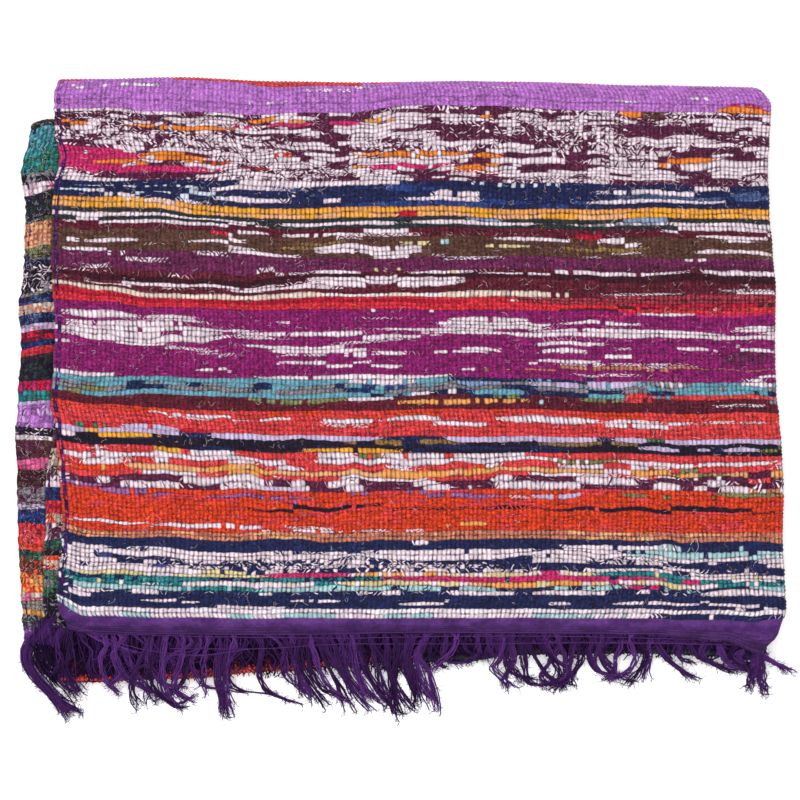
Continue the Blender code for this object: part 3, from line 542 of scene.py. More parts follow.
def lay(s, leaf, place, reach, out):
    """Points of the cloth. s is the place along the path, leaf is 0 for P, 1 for the fold and 2 for
    Q, place is the place across it from 0 to 1, reach is in millimetres from the selvedge instead
    where place is below 0, and out is the distance from the leaf's mid surface, outwards."""
    x = np.empty(s.shape)
    y = np.empty(s.shape)
    z = np.empty(s.shape)
    for index, zone in enumerate(ZONES):
        here = s >= zone.start if index else np.ones(s.shape, bool)
        if index + 1 < len(ZONES):
            here &= s < ZONES[index + 1].start
        if not here.any():
            continue
        share = (s[here] - zone.start) / zone.length
        left_p, left_q, right = edges_at(zone, share)
        fold = right - TURN_REACH
        side = leaf[here]
        near = place[here]
        left = np.where(side == 0, left_p, left_q)
        flat = np.where(near < 0, left + reach[here], left + (fold - left) * near)
        away = LEAF_APART / 2 + out[here]
        angle = math.pi * near
        at_x = np.where(side == 1, fold + away * np.sin(angle), flat)
        offset = np.where(side == 1, away * np.cos(angle), np.where(side == 0, away, -away))
        if zone.turn is None:
            begin = level_limit(zone.begins, at_x)
            end = level_limit(zone.ends, at_x)
            at_y = begin + (end - begin) * share
            at_z = zone.z + zone.up * offset
        else:
            turn = TURNS[zone.turn]
            round_it = math.pi * share
            radius = turn.radius + turn.p_outside * offset
            at_y = level_limit(zone.turn, at_x) + turn.away * radius * np.sin(round_it)
            at_z = zone.z + zone.up * turn.p_outside * radius * np.cos(round_it)
        x[here] = at_x
        y[here] = at_y
        z[here] = lifted(at_x, at_y, at_z)
    return x, y, z


# How far the rows lie above their places at mid width, in photo pixels, by photo_y and at each of
# these places across
RISE_X = (60, 105, 150, 200, 245, 290, 340, 400, 560, 750)
Rise = namedtuple("Rise", "photo_y high")
RISES = rows_as(
    Rise,
    (40, (0, 0, 0, 0, 0, 0, 0, 0, 0, 0)),
    (83, (0, 0, 0, 0, 0, 0, 0, 0, 0, 0)),
    (108, (-2.4, -2.5, -7, -8.6, -7.6, -4, -3.3, 1.5, 0, 0)),
    (145, (-1, -1.5, -2.5, -3.5, -4, -3, -2, 0, 0, 0)),
    (182, (-1, -2, -2.4, -1, 2, 1.5, 1.5, 2.5, -1, 1)),
    (207, (9.5, 9, 5.2, -0.8, -1.8, -0.6, 0.4, 1, -1, 3)),
    (218, (9.5, 9, 5.2, -0.8, -1.8, -0.8, -0.2, 1, -1, 3)),
    (230, (7.4, 7, 5.6, 2.8, 0.3, -1, 0, 0, 0.8, 0)),
    (255, (4, 4, 3.5, 2, -0.5, -2.5, -2, -2, 0, 0)),
    (275, (1, -1, -4.5, -9, -9.5, -2.5, -1, -1, 1, 0)),
    (290, (8, 3, -3, -5, -5, -3, -0.5, 0, 0, 0)),
    (297, (9.5, 4, -2, -4, -3.5, -2.5, -0.5, 0, 0, 0)),
    (310, (7, 6, 1, 0.5, 0.8, 0, 0, 0, 0, 0)),
    (331, (3, 0, -3, -1.5, 0, -0.5, 0, -1, 0, 0)),
    (352, (1, 0, -4, -4, 0, 0, 0, 0, 0, 0)),
    (379, (1, 2.5, 2, 0, 0.5, 0.5, 0.5, 0, 0, 0)),
    (396, (0.5, -0.5, 1.5, 0, -1.5, -2, -1, 1, 0, 0)),
    (414, (4.8, 5, 0.5, -1, -2, -0.7, -1, 0, -2, 0)),
    (435, (6.7, 5, 4.4, 1.8, 2.5, 1.2, -1, -1, -2.5, 0)),
    (460, (6.5, 4.5, 4.5, -0.5, 1.5, 0, -0.6, -2, -1.5, 0)),
    (485, (3.5, 1.4, 0.9, -3, 1, -1, -1, -1.5, 0.5, 0)),
    (510, (1, 0, 0, -2, -0.5, -1, -1.5, 0, 0, 0)),
    (531, (2.5, 0, 0.5, -1.5, -2.5, -1, -2, 0, 0, 0)),
    (549, (4, 4, 2.5, -2, -4, -2, -3.5, 0, 0, -1)),
    (564, (2, 2, 0, -0.5, -1.5, -1, -2, 0, 1, -2)),
    (594, (2, 2, -1, 0.5, -0.7, -0.5, -2.5, -2, -1, 0)),
    (612, (1.7, 1.6, 0, 0.3, -0.8, 0.7, -1, -2, -1, 0)),
    (634, (0, 0, 0, 0, 0, 0, 0, 0, 0, 0)),
)
CORNER_RISE = 8.0  # of the rows just before the heading, at the left selvedge
CORNER_RUN = 19.0
CORNER_FROM_X = -264.0
CORNER_FADE = 16.0
RIGHT_END_Y = -192.5  # where the rows at the right stay level, though the end bends away
# How all rows stray along the path: how far, how fast across and along, and from where
STRAYS = ((0.6, 31.0, 17.0, 0.0), (0.4, 13.0, -23.0, 1.0), (0.5, 57.0, 41.0, 2.0))
STRAY_FADE = 40.0  # towards each end


def risen(at_x, at_y):
    table = np.array([row.high for row in RISES])
    row, down = between([row.photo_y for row in RISES], at_y)
    column, over = between(RISE_X, at_x)
    above = table[row, column] * (1 - over) + table[row, column + 1] * over
    below = table[row + 1, column] * (1 - over) + table[row + 1, column + 1] * over
    return above * (1 - down) + below * down


def wave(x, s):
    """How far a row strays along the path at x."""
    level_y = photo_y(s + float(level_limit("end_top", 0.0)))
    rise = risen(photo_x(x), level_y) * PHOTO_MM
    corner = np.clip((CORNER_FROM_X - x) / CORNER_RUN, 0, 1) * CORNER_RISE
    corner = corner * np.exp(-np.maximum(s - HEADING_LENGTH, 0) / CORNER_FADE)
    corner = corner * np.clip(s / HEADING_LENGTH, 0, 1) ** 1.5
    share = np.clip(s / TOP_LENGTH, 0, 1)
    dip = np.maximum(RIGHT_END_Y - across("end_top", x), 0) * (x > 0)
    level = dip * (1 - share) * np.clip(s / HEADING_LENGTH, 0, 1) ** 1.2
    stray = sum(far * np.sin(x / run + s / along + start) for far, run, along, start in STRAYS)
    ends = np.clip(np.minimum(s, PATH_LENGTH - s) / STRAY_FADE, 0, 1)
    return rise + corner + level + stray * ends


# ---- Rows and lines -------------------------------------------------------------------------------
# A row has a line at each side and one along its middle. Before the first row and after the last
# one lie the headings' lines.

RowSpec = namedtuple("RowSpec", "high yarn dash share run")


def rows_of(stripes, start, end, place_of, rng):
    """Rows that fill the path from start to end, where the last stripe ends."""
    rows = []
    at = start
    for index, stripe in enumerate(stripes):
        to = end if index == len(stripes) - 1 else place_of(stripe)
        weights = rng.uniform(0.78, 1.22, stripe.rows)
        for high in (to - at) * weights / weights.sum():
            rows.append(RowSpec(high, stripe.yarn, stripe.dash, stripe.share, stripe.run))
        at = to
    return rows


def other_rows(start, end, rng):
    """Rows of stripes by chance, which fill the path from start to end."""
    rows = []
    at = start
    last = -1
    while at < end:
        pick = int(rng.integers(len(OTHER_STRIPES)))
        if pick == last:
            continue
        last = pick
        for _ in range(int(rng.integers(1, 6))):
            rows.append(RowSpec(ROW_HIGH, *OTHER_STRIPES[pick], rng.choice(["medium", "long"])))
            at += ROW_HIGH
    scale = (end - start) / sum(row.high for row in rows)
    return [row._replace(high=row.high * scale) for row in rows]


def all_rows():
    """The rows from the end on top to the one under it, and how many lie on the top level."""
    rng = np.random.default_rng(SEED)
    base_y = float(level_limit("end_top", 0.0))
    top = TOP_STRIPES[::-1]
    shifted = [stripe._replace(photo_y=after.photo_y) for stripe, after in zip(top, top[1:])]
    shifted.append(top[-1]._replace(photo_y=FAR_FOLD_Y))

    def top_place(stripe):
        return from_photo_y(stripe.photo_y) - base_y

    fold_start = top_place(shifted[-1])
    rows = rows_of(shifted, HEADING_LENGTH, fold_start, top_place, rng)
    top_rows = len(rows)
    for count, *row in FAR_FOLD_ROWS:
        rows += [RowSpec(FOLD_ROW_HIGH, *row)] * count
    at = fold_start + sum(row.high for row in rows[top_rows:])
    near_start = NEAR_TURN.start - NEAR_BEFORE
    rows += other_rows(at, near_start, rng)
    high = (NEAR_TURN.length + NEAR_MORE) / NEAR_ROWS
    rows += [RowSpec(high, "coral", "maroon", 0.5, "medium")] * NEAR_ROWS
    begin, end = third_limits(STRIP_X)
    show_from = INNER_TURN.start + INNER_TURN.length * STRIP_FROM
    rows += other_rows(near_start + NEAR_TURN.length + NEAR_MORE, show_from, rng)

    def left_place(stripe):
        share = (from_photo_y(stripe.photo_y) - begin) / (end - begin)
        return THIRD_LEVEL.start + THIRD_LEVEL.length * share

    rows += rows_of(LEFT_STRIPES, show_from, PATH_LENGTH - HEADING_LENGTH, left_place, rng)
    return rows, top_rows


def third_limits(x):
    """The y at which the third level begins and ends at x."""
    return [float(level_limit(name, x)) for name in ("inner_turn", "end_under")]


def held_rows():
    """The row before which each held edge lies."""
    found = [0]
    count = 0
    top = TOP_STRIPES[::-1]
    for stripe, after in zip(top, top[1:]):
        count += stripe.rows
        if after.photo_y in HELD_EDGES:
            found.append(count)
    return found


ROWS, TOP_ROWS = all_rows()
HIDDEN_ROW = TOP_ROWS + 20  # from this row on, nothing but the near turn and the strip shows
HELD_ROWS = held_rows()


def all_lines():
    """Each line's place along the path, and for each gap between lines its row, or -1."""
    heading = np.linspace(0, HEADING_LENGTH, HEADING_LINES + 1)
    places = list(heading)
    rows = [-1] * HEADING_LINES
    for index, row in enumerate(ROWS):
        places += [places[-1] + row.high / 2, places[-1] + row.high]
        rows += [index, index]
    places += list(PATH_LENGTH - HEADING_LENGTH + heading[1:])
    rows += [-1] * HEADING_LINES
    return np.array(places), np.array(rows)


LINE_S, GAP_ROW = all_lines()
SEAM_LINE = HEADING_LINES + 2 * TOP_ROWS
LINES = len(LINE_S)


def line_near(s):
    """The line between two rows that is nearest to s."""
    line = int(np.argmin(np.abs(LINE_S - s)))
    return line - (line - HEADING_LINES) % 2


# ---- Columns round the double leaf ----------------------------------------------------------------
# A ring: P's outer face, the fold's, Q's, then back along Q's inner face, the fold's and P's.

Q_OUTER = LEAF_HALVES + FOLD_HALVES
Q_EDGE = Q_OUTER + LEAF_HALVES
Q_INNER = Q_EDGE + 1
FOLD_INNER = Q_INNER + LEAF_HALVES // COARSE
P_INNER = FOLD_INNER + INNER_FOLD
P_FINE = P_INNER + (LEAF_HALVES - EDGE_HALVES) // COARSE
COLUMNS = P_FINE + EDGE_HALVES + 1  # the last one is at P's selvedge, and the ring closes there


def all_columns():
    """For each column: its leaf, 1 for an outer face or -1, and the half bead it lies at."""
    parts = (
        (0, 1, range(LEAF_HALVES)),
        (1, 1, range(FOLD_HALVES + 1)),
        (2, 1, range(LEAF_HALVES - 1, -1, -1)),
        (2, -1, range(0, LEAF_HALVES, COARSE)),
        (1, -1, range(FOLD_HALVES, -1, -FOLD_HALVES // INNER_FOLD)),
        (0, -1, range(LEAF_HALVES - COARSE, EDGE_HALVES, -COARSE)),
        (0, -1, range(EDGE_HALVES, -1, -1)),
    )
    return np.array([(leaf, face, half) for leaf, face, halves in parts for half in halves]).T


COL_LEAF, COL_FACE, COL_HALF = all_columns()


def half_places():
    """Places across a leaf: from 0 to 1, or millimetres from the selvedge for the first ones."""
    steps = len(SELVEDGE_STEPS) - 1
    rest = (PLAIN_WIDTH - SELVEDGE_STEPS[-1]) / (LEAF_HALVES - steps)
    place = (SELVEDGE_STEPS[-1] + (COL_HALF - steps) * rest) / PLAIN_WIDTH
    reach = place * PLAIN_WIDTH
    fold = COL_LEAF == 1
    edge = (COL_HALF <= steps) & ~fold
    reach[edge] = np.array(SELVEDGE_STEPS)[COL_HALF[edge]]
    place[edge] = -1
    place[fold] = COL_HALF[fold] / FOLD_HALVES
    reach[fold] = 0
    return place, reach


COL_PLACE, COL_REACH = half_places()


# ---- The yarn of every bead -----------------------------------------------------------------------

BEADS = (Q_EDGE + 2) // 2 + 1
CALM = ("brown", "maroon", "dark")  # yarns whose stripes have few dashes at the left
CALM_BEADS = 40
SHORT_MORE = 1.8  # times the charted share of a second yarn in short dashes
SHORT_MOST = 0.6
LONG_LESS = 0.4  # times that in longer ones, as most of them are listed one by one
DASH_END = 0.06  # of the noise, over which a dash ends
SWELL_REACH = 2.0  # half beads over which a row's height is smoothed
THIN_REACH = 1.5
HELD_FADE = 12.0  # rows after the last held edge
END_ROWS = 3.0  # rows from each end that stay more and more in place
PASSES = 3  # of laying the dashes, which move the rows they lie in
FOLD_ROWS_LAID = 9  # rows of the far fold that dashes reach
DASH_ROW_HIGH = 5.2  # photo pixels of a dash's height for each row
SLENDER = (0.28, 2.2)  # the least and most height of a dash's row, as a share of its own
# Dark yarns of the near turn's right part, which stand for painted shade under the fringe
NEAR_SHADE_YARNS = ("ink", "black", "dark", "ink")  # of the near turn
NEAR_SHADE_FROM_BEAD = 80
NEAR_SHADE_STRAY = 6
NEAR_SHADE_BEFORE = 16
NEAR_SHADE_PAST = 20
LEFT_Q_X = -290.0  # where leaf Q's stripes are charted
LEFT_Q_BEADS = 26


def field(shape, run, tall, rng):
    """Noise from 0 to 1 that is drawn out along the rows, with every value as likely."""
    noise = np.fft.rfft2(rng.standard_normal(shape))
    up = np.fft.fftfreq(shape[0])[:, None] * tall
    along = np.fft.rfftfreq(shape[1])[None, :] * run
    noise = np.fft.irfft2(noise * np.exp(-2 * math.pi**2 * (up**2 + along**2)), s=shape)
    order = noise.ravel().argsort().argsort()
    return (order / noise.size).reshape(shape)


def bead_places(rows, halves, bounds):
    """Where the middles of beads lie, for rows and half beads of the outer face."""
    lines = HEADING_LINES + 2 * rows + 1
    s = LINE_S[lines][:, None] + (bounds[rows][:, halves] + bounds[rows + 1][:, halves]) / 2
    across_it = [np.tile(values[halves], (len(rows), 1)) for values in (COL_LEAF, COL_PLACE, COL_REACH)]
    out = np.full(s.shape, CLOTH_THICK / 2)
    x, _, _ = lay(s, *across_it, out)
    return lay(s + wave(x, s), *across_it, out)


def yarn_index(name):
    return list(YARNS).index(name)


def colour_of(name):
    return PALETTE[yarn_index(name)]


def row_swell(rng):
    """How thick each row is at every half bead, as a share of its plain height."""
    shape = (len(ROWS), Q_EDGE + 1)
    slow = field(shape, 15.0, 0.5, rng)
    quick = field(shape, 3.0, 0.4, rng)
    return 0.68 + 0.38 * slow + 0.26 * quick


def eased_along(values, reach, axis):
    """Values that are smoothed along an axis, with the ends held."""
    size = int(reach * 3)
    weights = np.exp(-0.5 * (np.arange(-size, size + 1) / reach) ** 2)
    weights /= weights.sum()
    padding = [(0, 0), (0, 0)]
    padding[axis] = (size, size)
    padded = np.pad(values, padding, mode="edge")
    total = np.zeros(values.shape)
    for index, weight in enumerate(weights):
        cut = [slice(None), slice(None)]
        cut[axis] = slice(index, index + values.shape[axis])
        total += weight * padded[tuple(cut)]
    return total


def row_bounds(swell):
    """How far the sides of every row lie from their plain places: rows and one, by half beads."""
    high = np.array([row.high for row in ROWS])[:, None]
    swell = eased_along(swell, SWELL_REACH, 1)
    bounds = np.zeros((len(ROWS) + 1, swell.shape[1]))
    bounds[1:] = np.cumsum(high * (swell - 1), axis=0)
    bounds -= eased_along(bounds, SETTLE_ROWS, 0)
    rows = np.arange(len(bounds))
    for column in range(bounds.shape[1]):
        held = bounds[HELD_ROWS, column]
        fade = np.clip(1 - (rows - HELD_ROWS[-1]) / HELD_FADE, 0, 1)
        bounds[:, column] -= np.interp(rows, HELD_ROWS, held) * fade
    bounds *= np.clip(np.minimum(rows, rows[::-1]) / END_ROWS, 0, 1)[:, None]
    plain = np.concatenate([[0], np.cumsum(high[:, 0])])
    for row in range(len(ROWS)):
        least = plain[row] + bounds[row] + THINNEST * high[row]
        bounds[row + 1] = np.maximum(bounds[row + 1], least - plain[row + 1])
    return bounds


def all_beads():
    """For each row and bead its yarn, a second yarn, and how much of that shows. Also the bounds."""
    rng = np.random.default_rng(SEED + 1)
    shape = (len(ROWS), BEADS)
    fields = {name: field(shape, *size, rng) for name, size in RUNS.items()}
    curls = field(shape, 7.0, 1.3, rng)
    yarn = np.zeros(shape, int)
    second = np.zeros(shape, int)
    amount = np.zeros(shape)
    ends = np.zeros(shape)
    slender = np.zeros(shape)
    for index, row in enumerate(ROWS):
        share = row.share
        if index < TOP_ROWS:
            share = min(share * SHORT_MORE, SHORT_MOST) if row.run == "short" else share * LONG_LESS
        noise = fields[row.run][index]
        dashed = noise < share * np.where(np.arange(BEADS) < CALM_BEADS, row.yarn not in CALM, 1.0)
        base = yarn_index(row.yarn)
        dash = yarn_index(row.dash)
        yarn[index] = np.where(dashed, dash, base)
        second[index] = np.where(dashed, base, dash)
        edge = np.exp(-np.abs(noise - share) / DASH_END)
        ends[index] = edge * (row.run != "short")
        slender[index] = dashed * (row.run == "short")
        curly = np.clip((curls[index] - 0.4) / 0.3, 0, 1)
        spread = rng.random(BEADS) ** 2 * (0.2 + 0.55 * curly if row.run == "short" else 0.12)
        amount[index] = (spread + 0.26 * edge) * np.minimum(0.2 + row.share * 2.0, 1.0)
        if index > HIDDEN_ROW:
            amount[index] = np.minimum(amount[index] * 1.9 + 0.1 * rng.random(BEADS), 0.9)
    ends, slender = (np.repeat(values, 2, axis=1)[:, : Q_EDGE + 1] for values in (ends, slender))
    swell = row_swell(rng) * (1 - 0.5 * ends)
    thin = eased_along(slender, THIN_REACH, 1)
    swell = swell * (1 - 0.48 * thin)
    plain = (yarn, second, amount, swell)
    bounds = row_bounds(swell)
    for _ in range(PASSES):
        yarn, second, amount, swell = (values.copy() for values in plain)
        paint_dashes(yarn, second, amount, swell, bounds)
        bounds = row_bounds(swell)
    paint_far_turn(yarn)
    paint_near_turn(yarn, second, rng)
    paint_left_q(yarn, second, fields["short"])
    return yarn, second, amount, bounds


def paint_dashes(yarn, second, amount, swell, bounds):
    """Lays the dashes that the photograph shows on the top level and its fold."""
    rng = np.random.default_rng(SEED + 4)
    rows = np.arange(TOP_ROWS + FOLD_ROWS_LAID)
    halves = np.arange(0, LEAF_HALVES + FOLD_HALVES // 2 + 1)
    x, y, _ = bead_places(rows, halves, bounds)
    at_x = photo_x(x)
    at_y = photo_y(y)
    tall = np.maximum(-np.gradient(at_y, axis=0), 1.5)
    for name, share, dashes in DASHES:
        index = yarn_index(name)
        for x0, y0, x1, y1, high in dashes:
            middle = np.abs(at_x[0] - (x0 + x1) / 2).argmin()
            row = int(np.abs(at_y[:, middle] - (y0 + y1) / 2).argmin())
            count = max(1, round(high / DASH_ROW_HIGH))
            columns = np.nonzero((at_x[row] > x0) & (at_x[row] < x1))[0]
            along = (at_x[row, columns] - x0) / (x1 - x0)
            off = y0 + (y1 - y0) * along - at_y[row, columns]
            steps = np.rint(-off / tall[row, columns] * 0.8).astype(int)
            lens = np.clip(1 - np.abs(2 * along - 1) ** 2.2, 0, 1) ** 0.8
            for layer in range(count):
                away = layer - (count - 1) / 2
                use = np.clip(row + steps + layer - (count - 1) // 2, 0, len(rows) - 1)
                keep = (lens * count / 2 > abs(away) - 0.25) & (rng.random(len(use)) < share)
                own = ROWS[row].high / PHOTO_MM
                thick = high / count / own * (0.08 + 0.94 * lens)
                swell[use, columns] = np.clip(thick, *SLENDER)
                beads = columns // 2
                hit = keep & (columns % 2 == 1)
                second[use[hit], beads[hit]] = yarn[use[hit], beads[hit]]
                thin = 0.42 * (1 - lens[hit]) ** 2 + 0.3 * (high < 3.0)
                amount[use[hit], beads[hit]] = thin + 0.08 * rng.random(int(hit.sum()))
                yarn[use[hit], beads[hit]] = index


FAR_BEADS_X = -284.0  # where the far fold's beads begin
FAR_BEAD = 3.65  # from one of them to the next
CORAL_ROW = TOP_ROWS + FAR_FOLD_ROWS[0][0]
# Where the coral stripe of that fold comes round: photo_x, photo_x and how many rows of it show
FAR_CORAL = ((60, 86, 1), (150, 176, 1), (178, 372, 2), (380, 412, 1), (520, 530, 1), (590, 610, 1))


def paint_far_turn(yarn):
    """The first rows of the coral stripe, which starts on the far fold."""
    for begin, end, count in FAR_CORAL:
        first, last = (int((from_photo_x(x) - FAR_BEADS_X) / FAR_BEAD) for x in (begin, end))
        for row in range(CORAL_ROW - 1 - count, CORAL_ROW):
            yarn[row, first:last] = yarn_index("coral")


def paint_near_turn(yarn, second, rng):
    """The right part of the near turn takes dark yarns as painted shade under the fringe, and only its left
    part is red.
    """
    places = LINE_S[HEADING_LINES + 1 + 2 * np.arange(len(ROWS))]
    turn_end = NEAR_TURN.start + NEAR_TURN.length
    near = (places > NEAR_TURN.start - NEAR_SHADE_BEFORE) & (places < turn_end + NEAR_SHADE_PAST)
    for row in np.nonzero(near)[0]:
        first = NEAR_SHADE_FROM_BEAD + int(rng.integers(-NEAR_SHADE_STRAY, NEAR_SHADE_STRAY + 1))
        beads = slice(first, BEADS - NEAR_SHADE_FROM_BEAD)
        yarn[row, beads] = yarn_index(NEAR_SHADE_YARNS[int(rng.integers(len(NEAR_SHADE_YARNS)))])
        second[row, beads] = yarn_index("plum")


def paint_left_q(yarn, second, noise):
    """The beads near leaf Q's selvedge on the third level."""
    begin, end = third_limits(LEFT_Q_X)
    beads = slice(BEADS - LEFT_Q_BEADS, BEADS)
    for row in range(len(ROWS)):
        share = (LINE_S[HEADING_LINES + 2 * row + 1] - THIRD_LEVEL.start) / THIRD_LEVEL.length
        if share < 0:
            continue
        at = photo_y(begin + (end - begin) * share)
        stripe = next((q for q in LEFT_Q_STRIPES if at <= q.photo_y), LEFT_Q_STRIPES[-1])
        dashed = noise[row, beads] < stripe.share
        base = yarn_index(stripe.yarn)
        dash = yarn_index(stripe.dash)
        yarn[row, beads] = np.where(dashed, dash, base)
        second[row, beads] = np.where(dashed, base, dash)


def linear(colour):
    share = np.asarray(colour, float) / 255
    return np.where(share <= 0.04045, share / 12.92, ((share + 0.055) / 1.055) ** 2.4)


PALETTE = np.array([linear(colour) for colour in YARNS.values()])
YARN_GAP_SHADE = np.array([GAP_SHADES.get(name, PLAIN_GAP_SHADE) for name in YARNS])
YARN, SECOND, AMOUNT, BOUNDS = all_beads()
TIPS = np.random.default_rng(SEED + 6).uniform(-1, 1, (LINES, COLUMNS))
LEANS = LEAN * (2 * field((LINES, COLUMNS), 5.0, 0.8, np.random.default_rng(SEED + 7)) - 1)


# ---- The cloth's mesh -----------------------------------------------------------------------------

SLUB_RISE = 0.35  # of thick places in the cloth
HEADING_SLUB = 0.04  # the same in the headings
THINNING = 3.0  # from the heading's thickness to the cloth's, along the path
EDGE_STRAY = 0.9  # of a line at the selvedge
EDGE_REACH = 7.0  # how far from the selvedge lines stray so
EDGE_ROUND = 2.2  # how far from the selvedge the cloth is rounded
JITTER = 0.16  # of a point along the path
LEAN_FROM = 12  # from the selvedge
PLAIN_LINES = 8  # lines in a cell where nothing shows
BACK_LINES = 4  # and on the outer face of leaf Q
# Where the cells of the cloth under the top level change between fine and coarse ones
CELL_LIMITS = (
    LOWEST_LEVEL.start + 6, NEAR_TURN.start - 8, SECOND_LEVEL.start + 8, INNER_TURN.start + 3,
)


def thickness(s):
    """Half the cloth's thickness along the path."""
    to_end = np.minimum(s, PATH_LENGTH - s)
    share = np.clip((to_end - HEADING_LENGTH) / THINNING, 0, 1)
    return (HEADING_THICK + (CLOTH_THICK - HEADING_THICK) * share) / 2


def relief(lines, columns, rng):
    """How far each point stands out from the plain cloth, bead by bead."""
    line = np.arange(lines.start, lines.stop)
    within = (line - HEADING_LINES) % 2 == 1
    row = np.clip((line - HEADING_LINES) // 2, 0, len(ROWS) - 1)
    half = np.where(COL_FACE == 1, columns, COL_HALF + 1)
    peak = np.broadcast_to(half[None, :] % 2 == 1, (len(line), COLUMNS))
    random = rng.uniform(0.75, 1.2, (len(line), COLUMNS))
    random[[0, -1]] = 1.0
    warps = np.random.default_rng(SEED + 2).uniform(0.7, 1.35, COLUMNS)[None, :]
    high = np.where(peak, BEAD_RISE * random, -BEAD_FALL * warps * random)
    high = np.where(within[:, None], high, -ROW_FALL * random)
    slub = field((len(line), COLUMNS), 9.0, 2.0, rng) - 0.5
    slub[[0, -1]] = 0
    high = high + SLUB_RISE * slub
    heading = (line < HEADING_LINES) | (line >= LINES - HEADING_LINES)
    high[heading] = HEADING_SLUB * slub[heading]
    return high


def line_shift(lines, shows):
    """How far each line strays at each column, by thick and thin rows and by the beads' tips."""
    line = np.arange(lines.start, lines.stop)
    over = np.array([outer_of(c) for c in range(COLUMNS)])
    side = np.clip((line - HEADING_LINES + 1) // 2, 0, len(ROWS))
    after = np.clip((line - HEADING_LINES) // 2 + 1, 0, len(ROWS))
    before = np.clip((line - HEADING_LINES) // 2, 0, len(ROWS))
    boundary = ((line - HEADING_LINES) % 2 == 0)[:, None]
    shift = np.where(boundary, BOUNDS[side][:, over], (BOUNDS[before] + BOUNDS[after])[:, over] / 2)
    high = np.array([row.high for row in ROWS])[:, None] + np.diff(BOUNDS, axis=0)
    row_before = np.clip(side - 1, 0, len(ROWS) - 1)
    row_after = np.clip(side, 0, len(ROWS) - 1)
    least = np.minimum(high[row_before], high[row_after])[:, over]
    tips = INTERLOCK * least * TIPS[line] * (boundary & shows)
    inside = ((line > HEADING_LINES) & (line < LINES - 1 - HEADING_LINES))[:, None]
    return (shift + tips) * inside


def cloth_points(lines):
    """Places of all lines and columns of a piece, as an array of lines by columns by 3."""
    rng = np.random.default_rng(SEED + lines.start)
    count = lines.stop - lines.start
    s = LINE_S[lines][:, None] + np.zeros((1, COLUMNS))
    columns = np.arange(COLUMNS)
    leaf = np.broadcast_to(COL_LEAF, s.shape)
    place = np.broadcast_to(COL_PLACE, s.shape)
    reach = np.broadcast_to(COL_REACH, s.shape)
    stands = relief(lines, columns, rng)
    row_edge = rng.uniform(-EDGE_STRAY, EDGE_STRAY, count)
    blur = np.convolve(row_edge, [0.25, 0.5, 0.25], mode="same")
    blur[[0, -1]] = 0
    free = (leaf != 1) & (reach > LEAN_FROM) & (COL_HALF < LEAF_HALVES - 3)[None, :]
    place = place + LEANS[lines] / LEAF_HALVES * free
    near_edge = np.clip(1 - reach / EDGE_REACH, 0, 1) * (leaf != 1)
    reach = reach + near_edge * blur[:, None] * 1.3
    rounding = np.sqrt(np.clip(1 - np.clip(1 - reach / EDGE_ROUND, 0, 1) ** 2, 0.04, 1))
    rounding = np.where(leaf == 1, 1.0, rounding)
    plain = thickness(s)
    out = (plain + stands * np.clip((plain - 0.5) * 2, 0, 1)) * rounding
    outer_fine = (COL_FACE == 1)[None, :]
    shows = outer_fine | ((columns >= P_FINE)[None, :] & (s > INNER_TURN.start))
    out = np.where(shows, out, plain * rounding)
    out = out * COL_FACE[None, :]
    x, _, _ = lay(s, leaf, place, reach, out)
    strays = wave(x, s) + line_shift(lines, shows)
    jitter = rng.uniform(-JITTER, JITTER, s.shape) * shows * (np.clip(plain - 0.7, 0, 1) > 0)
    x, y, z = lay(s + strays + jitter, leaf, place, reach, out)
    return np.stack([x - MIDDLE_X, y - MIDDLE_Y, z], axis=2) * MM


class Sheet:
    """A closed mesh of cells that are set out on the lines and columns of the ring."""

    def __init__(self, lines):
        self.lines = lines
        self.last = lines.stop - lines.start - 1
        self.cells = []

    def block(self, first, last, left, right, high=1, wide=1):
        """Cells of this height and width from line first to last and column left to right."""
        rows = list(range(first, last, high)) + [last]
        columns = list(range(left, right, wide)) + [right]
        for low, up in zip(rows, rows[1:]):
            for west, east in zip(columns, columns[1:]):
                self.cells.append((low, up, west, east))

    def faces(self):
        """The cells, small ones first, each with the (line, column) of the corners round it, which
        include those of finer cells next to it. Also which corners there are."""
        self.cells.sort(key=lambda cell: cell[1] - cell[0] > 1 or cell[3] - cell[2] > 1)
        used = np.zeros((self.last + 1, COLUMNS + 1), bool)
        low, up, west, east = np.array(self.cells).T
        for line in (low, up):
            used[line, west] = True
            used[line, east] = True
        used[:, 0] |= used[:, COLUMNS]
        used[:, COLUMNS] = used[:, 0]
        found = []
        for low, up, west, east in self.cells:
            path = [(low, c) for c in range(west, east) if used[low, c]]
            path += [(r, east) for r in range(low, up) if used[r, east]]
            path += [(up, c) for c in range(east, west, -1) if used[up, c]]
            path += [(r, west) for r in range(up, low, -1) if used[r, west]]
            found.append(path)
        return found, used

    def caps(self, used):
        """Faces that close the two ends, between the outer faces and the inner ones."""
        found = []
        for line in (0, self.last):
            inner = [c for c in range(Q_INNER, COLUMNS) if used[line, c]]
            for one, two in zip(inner, inner[1:]):
                outer = range(outer_of(two), outer_of(one) + 1)
                face = [(line, c) for c in outer if used[line, c]] + [(line, one), (line, two)]
                found.append(face if line else face[::-1])
        return found


def outer_of(column):
    """The outer column that lies over an inner one."""
    if column <= Q_EDGE:
        return column
    first, way = ((0, 1), (LEAF_HALVES, 1), (Q_EDGE, -1))[COL_LEAF[column]]
    return int(first + way * COL_HALF[column])


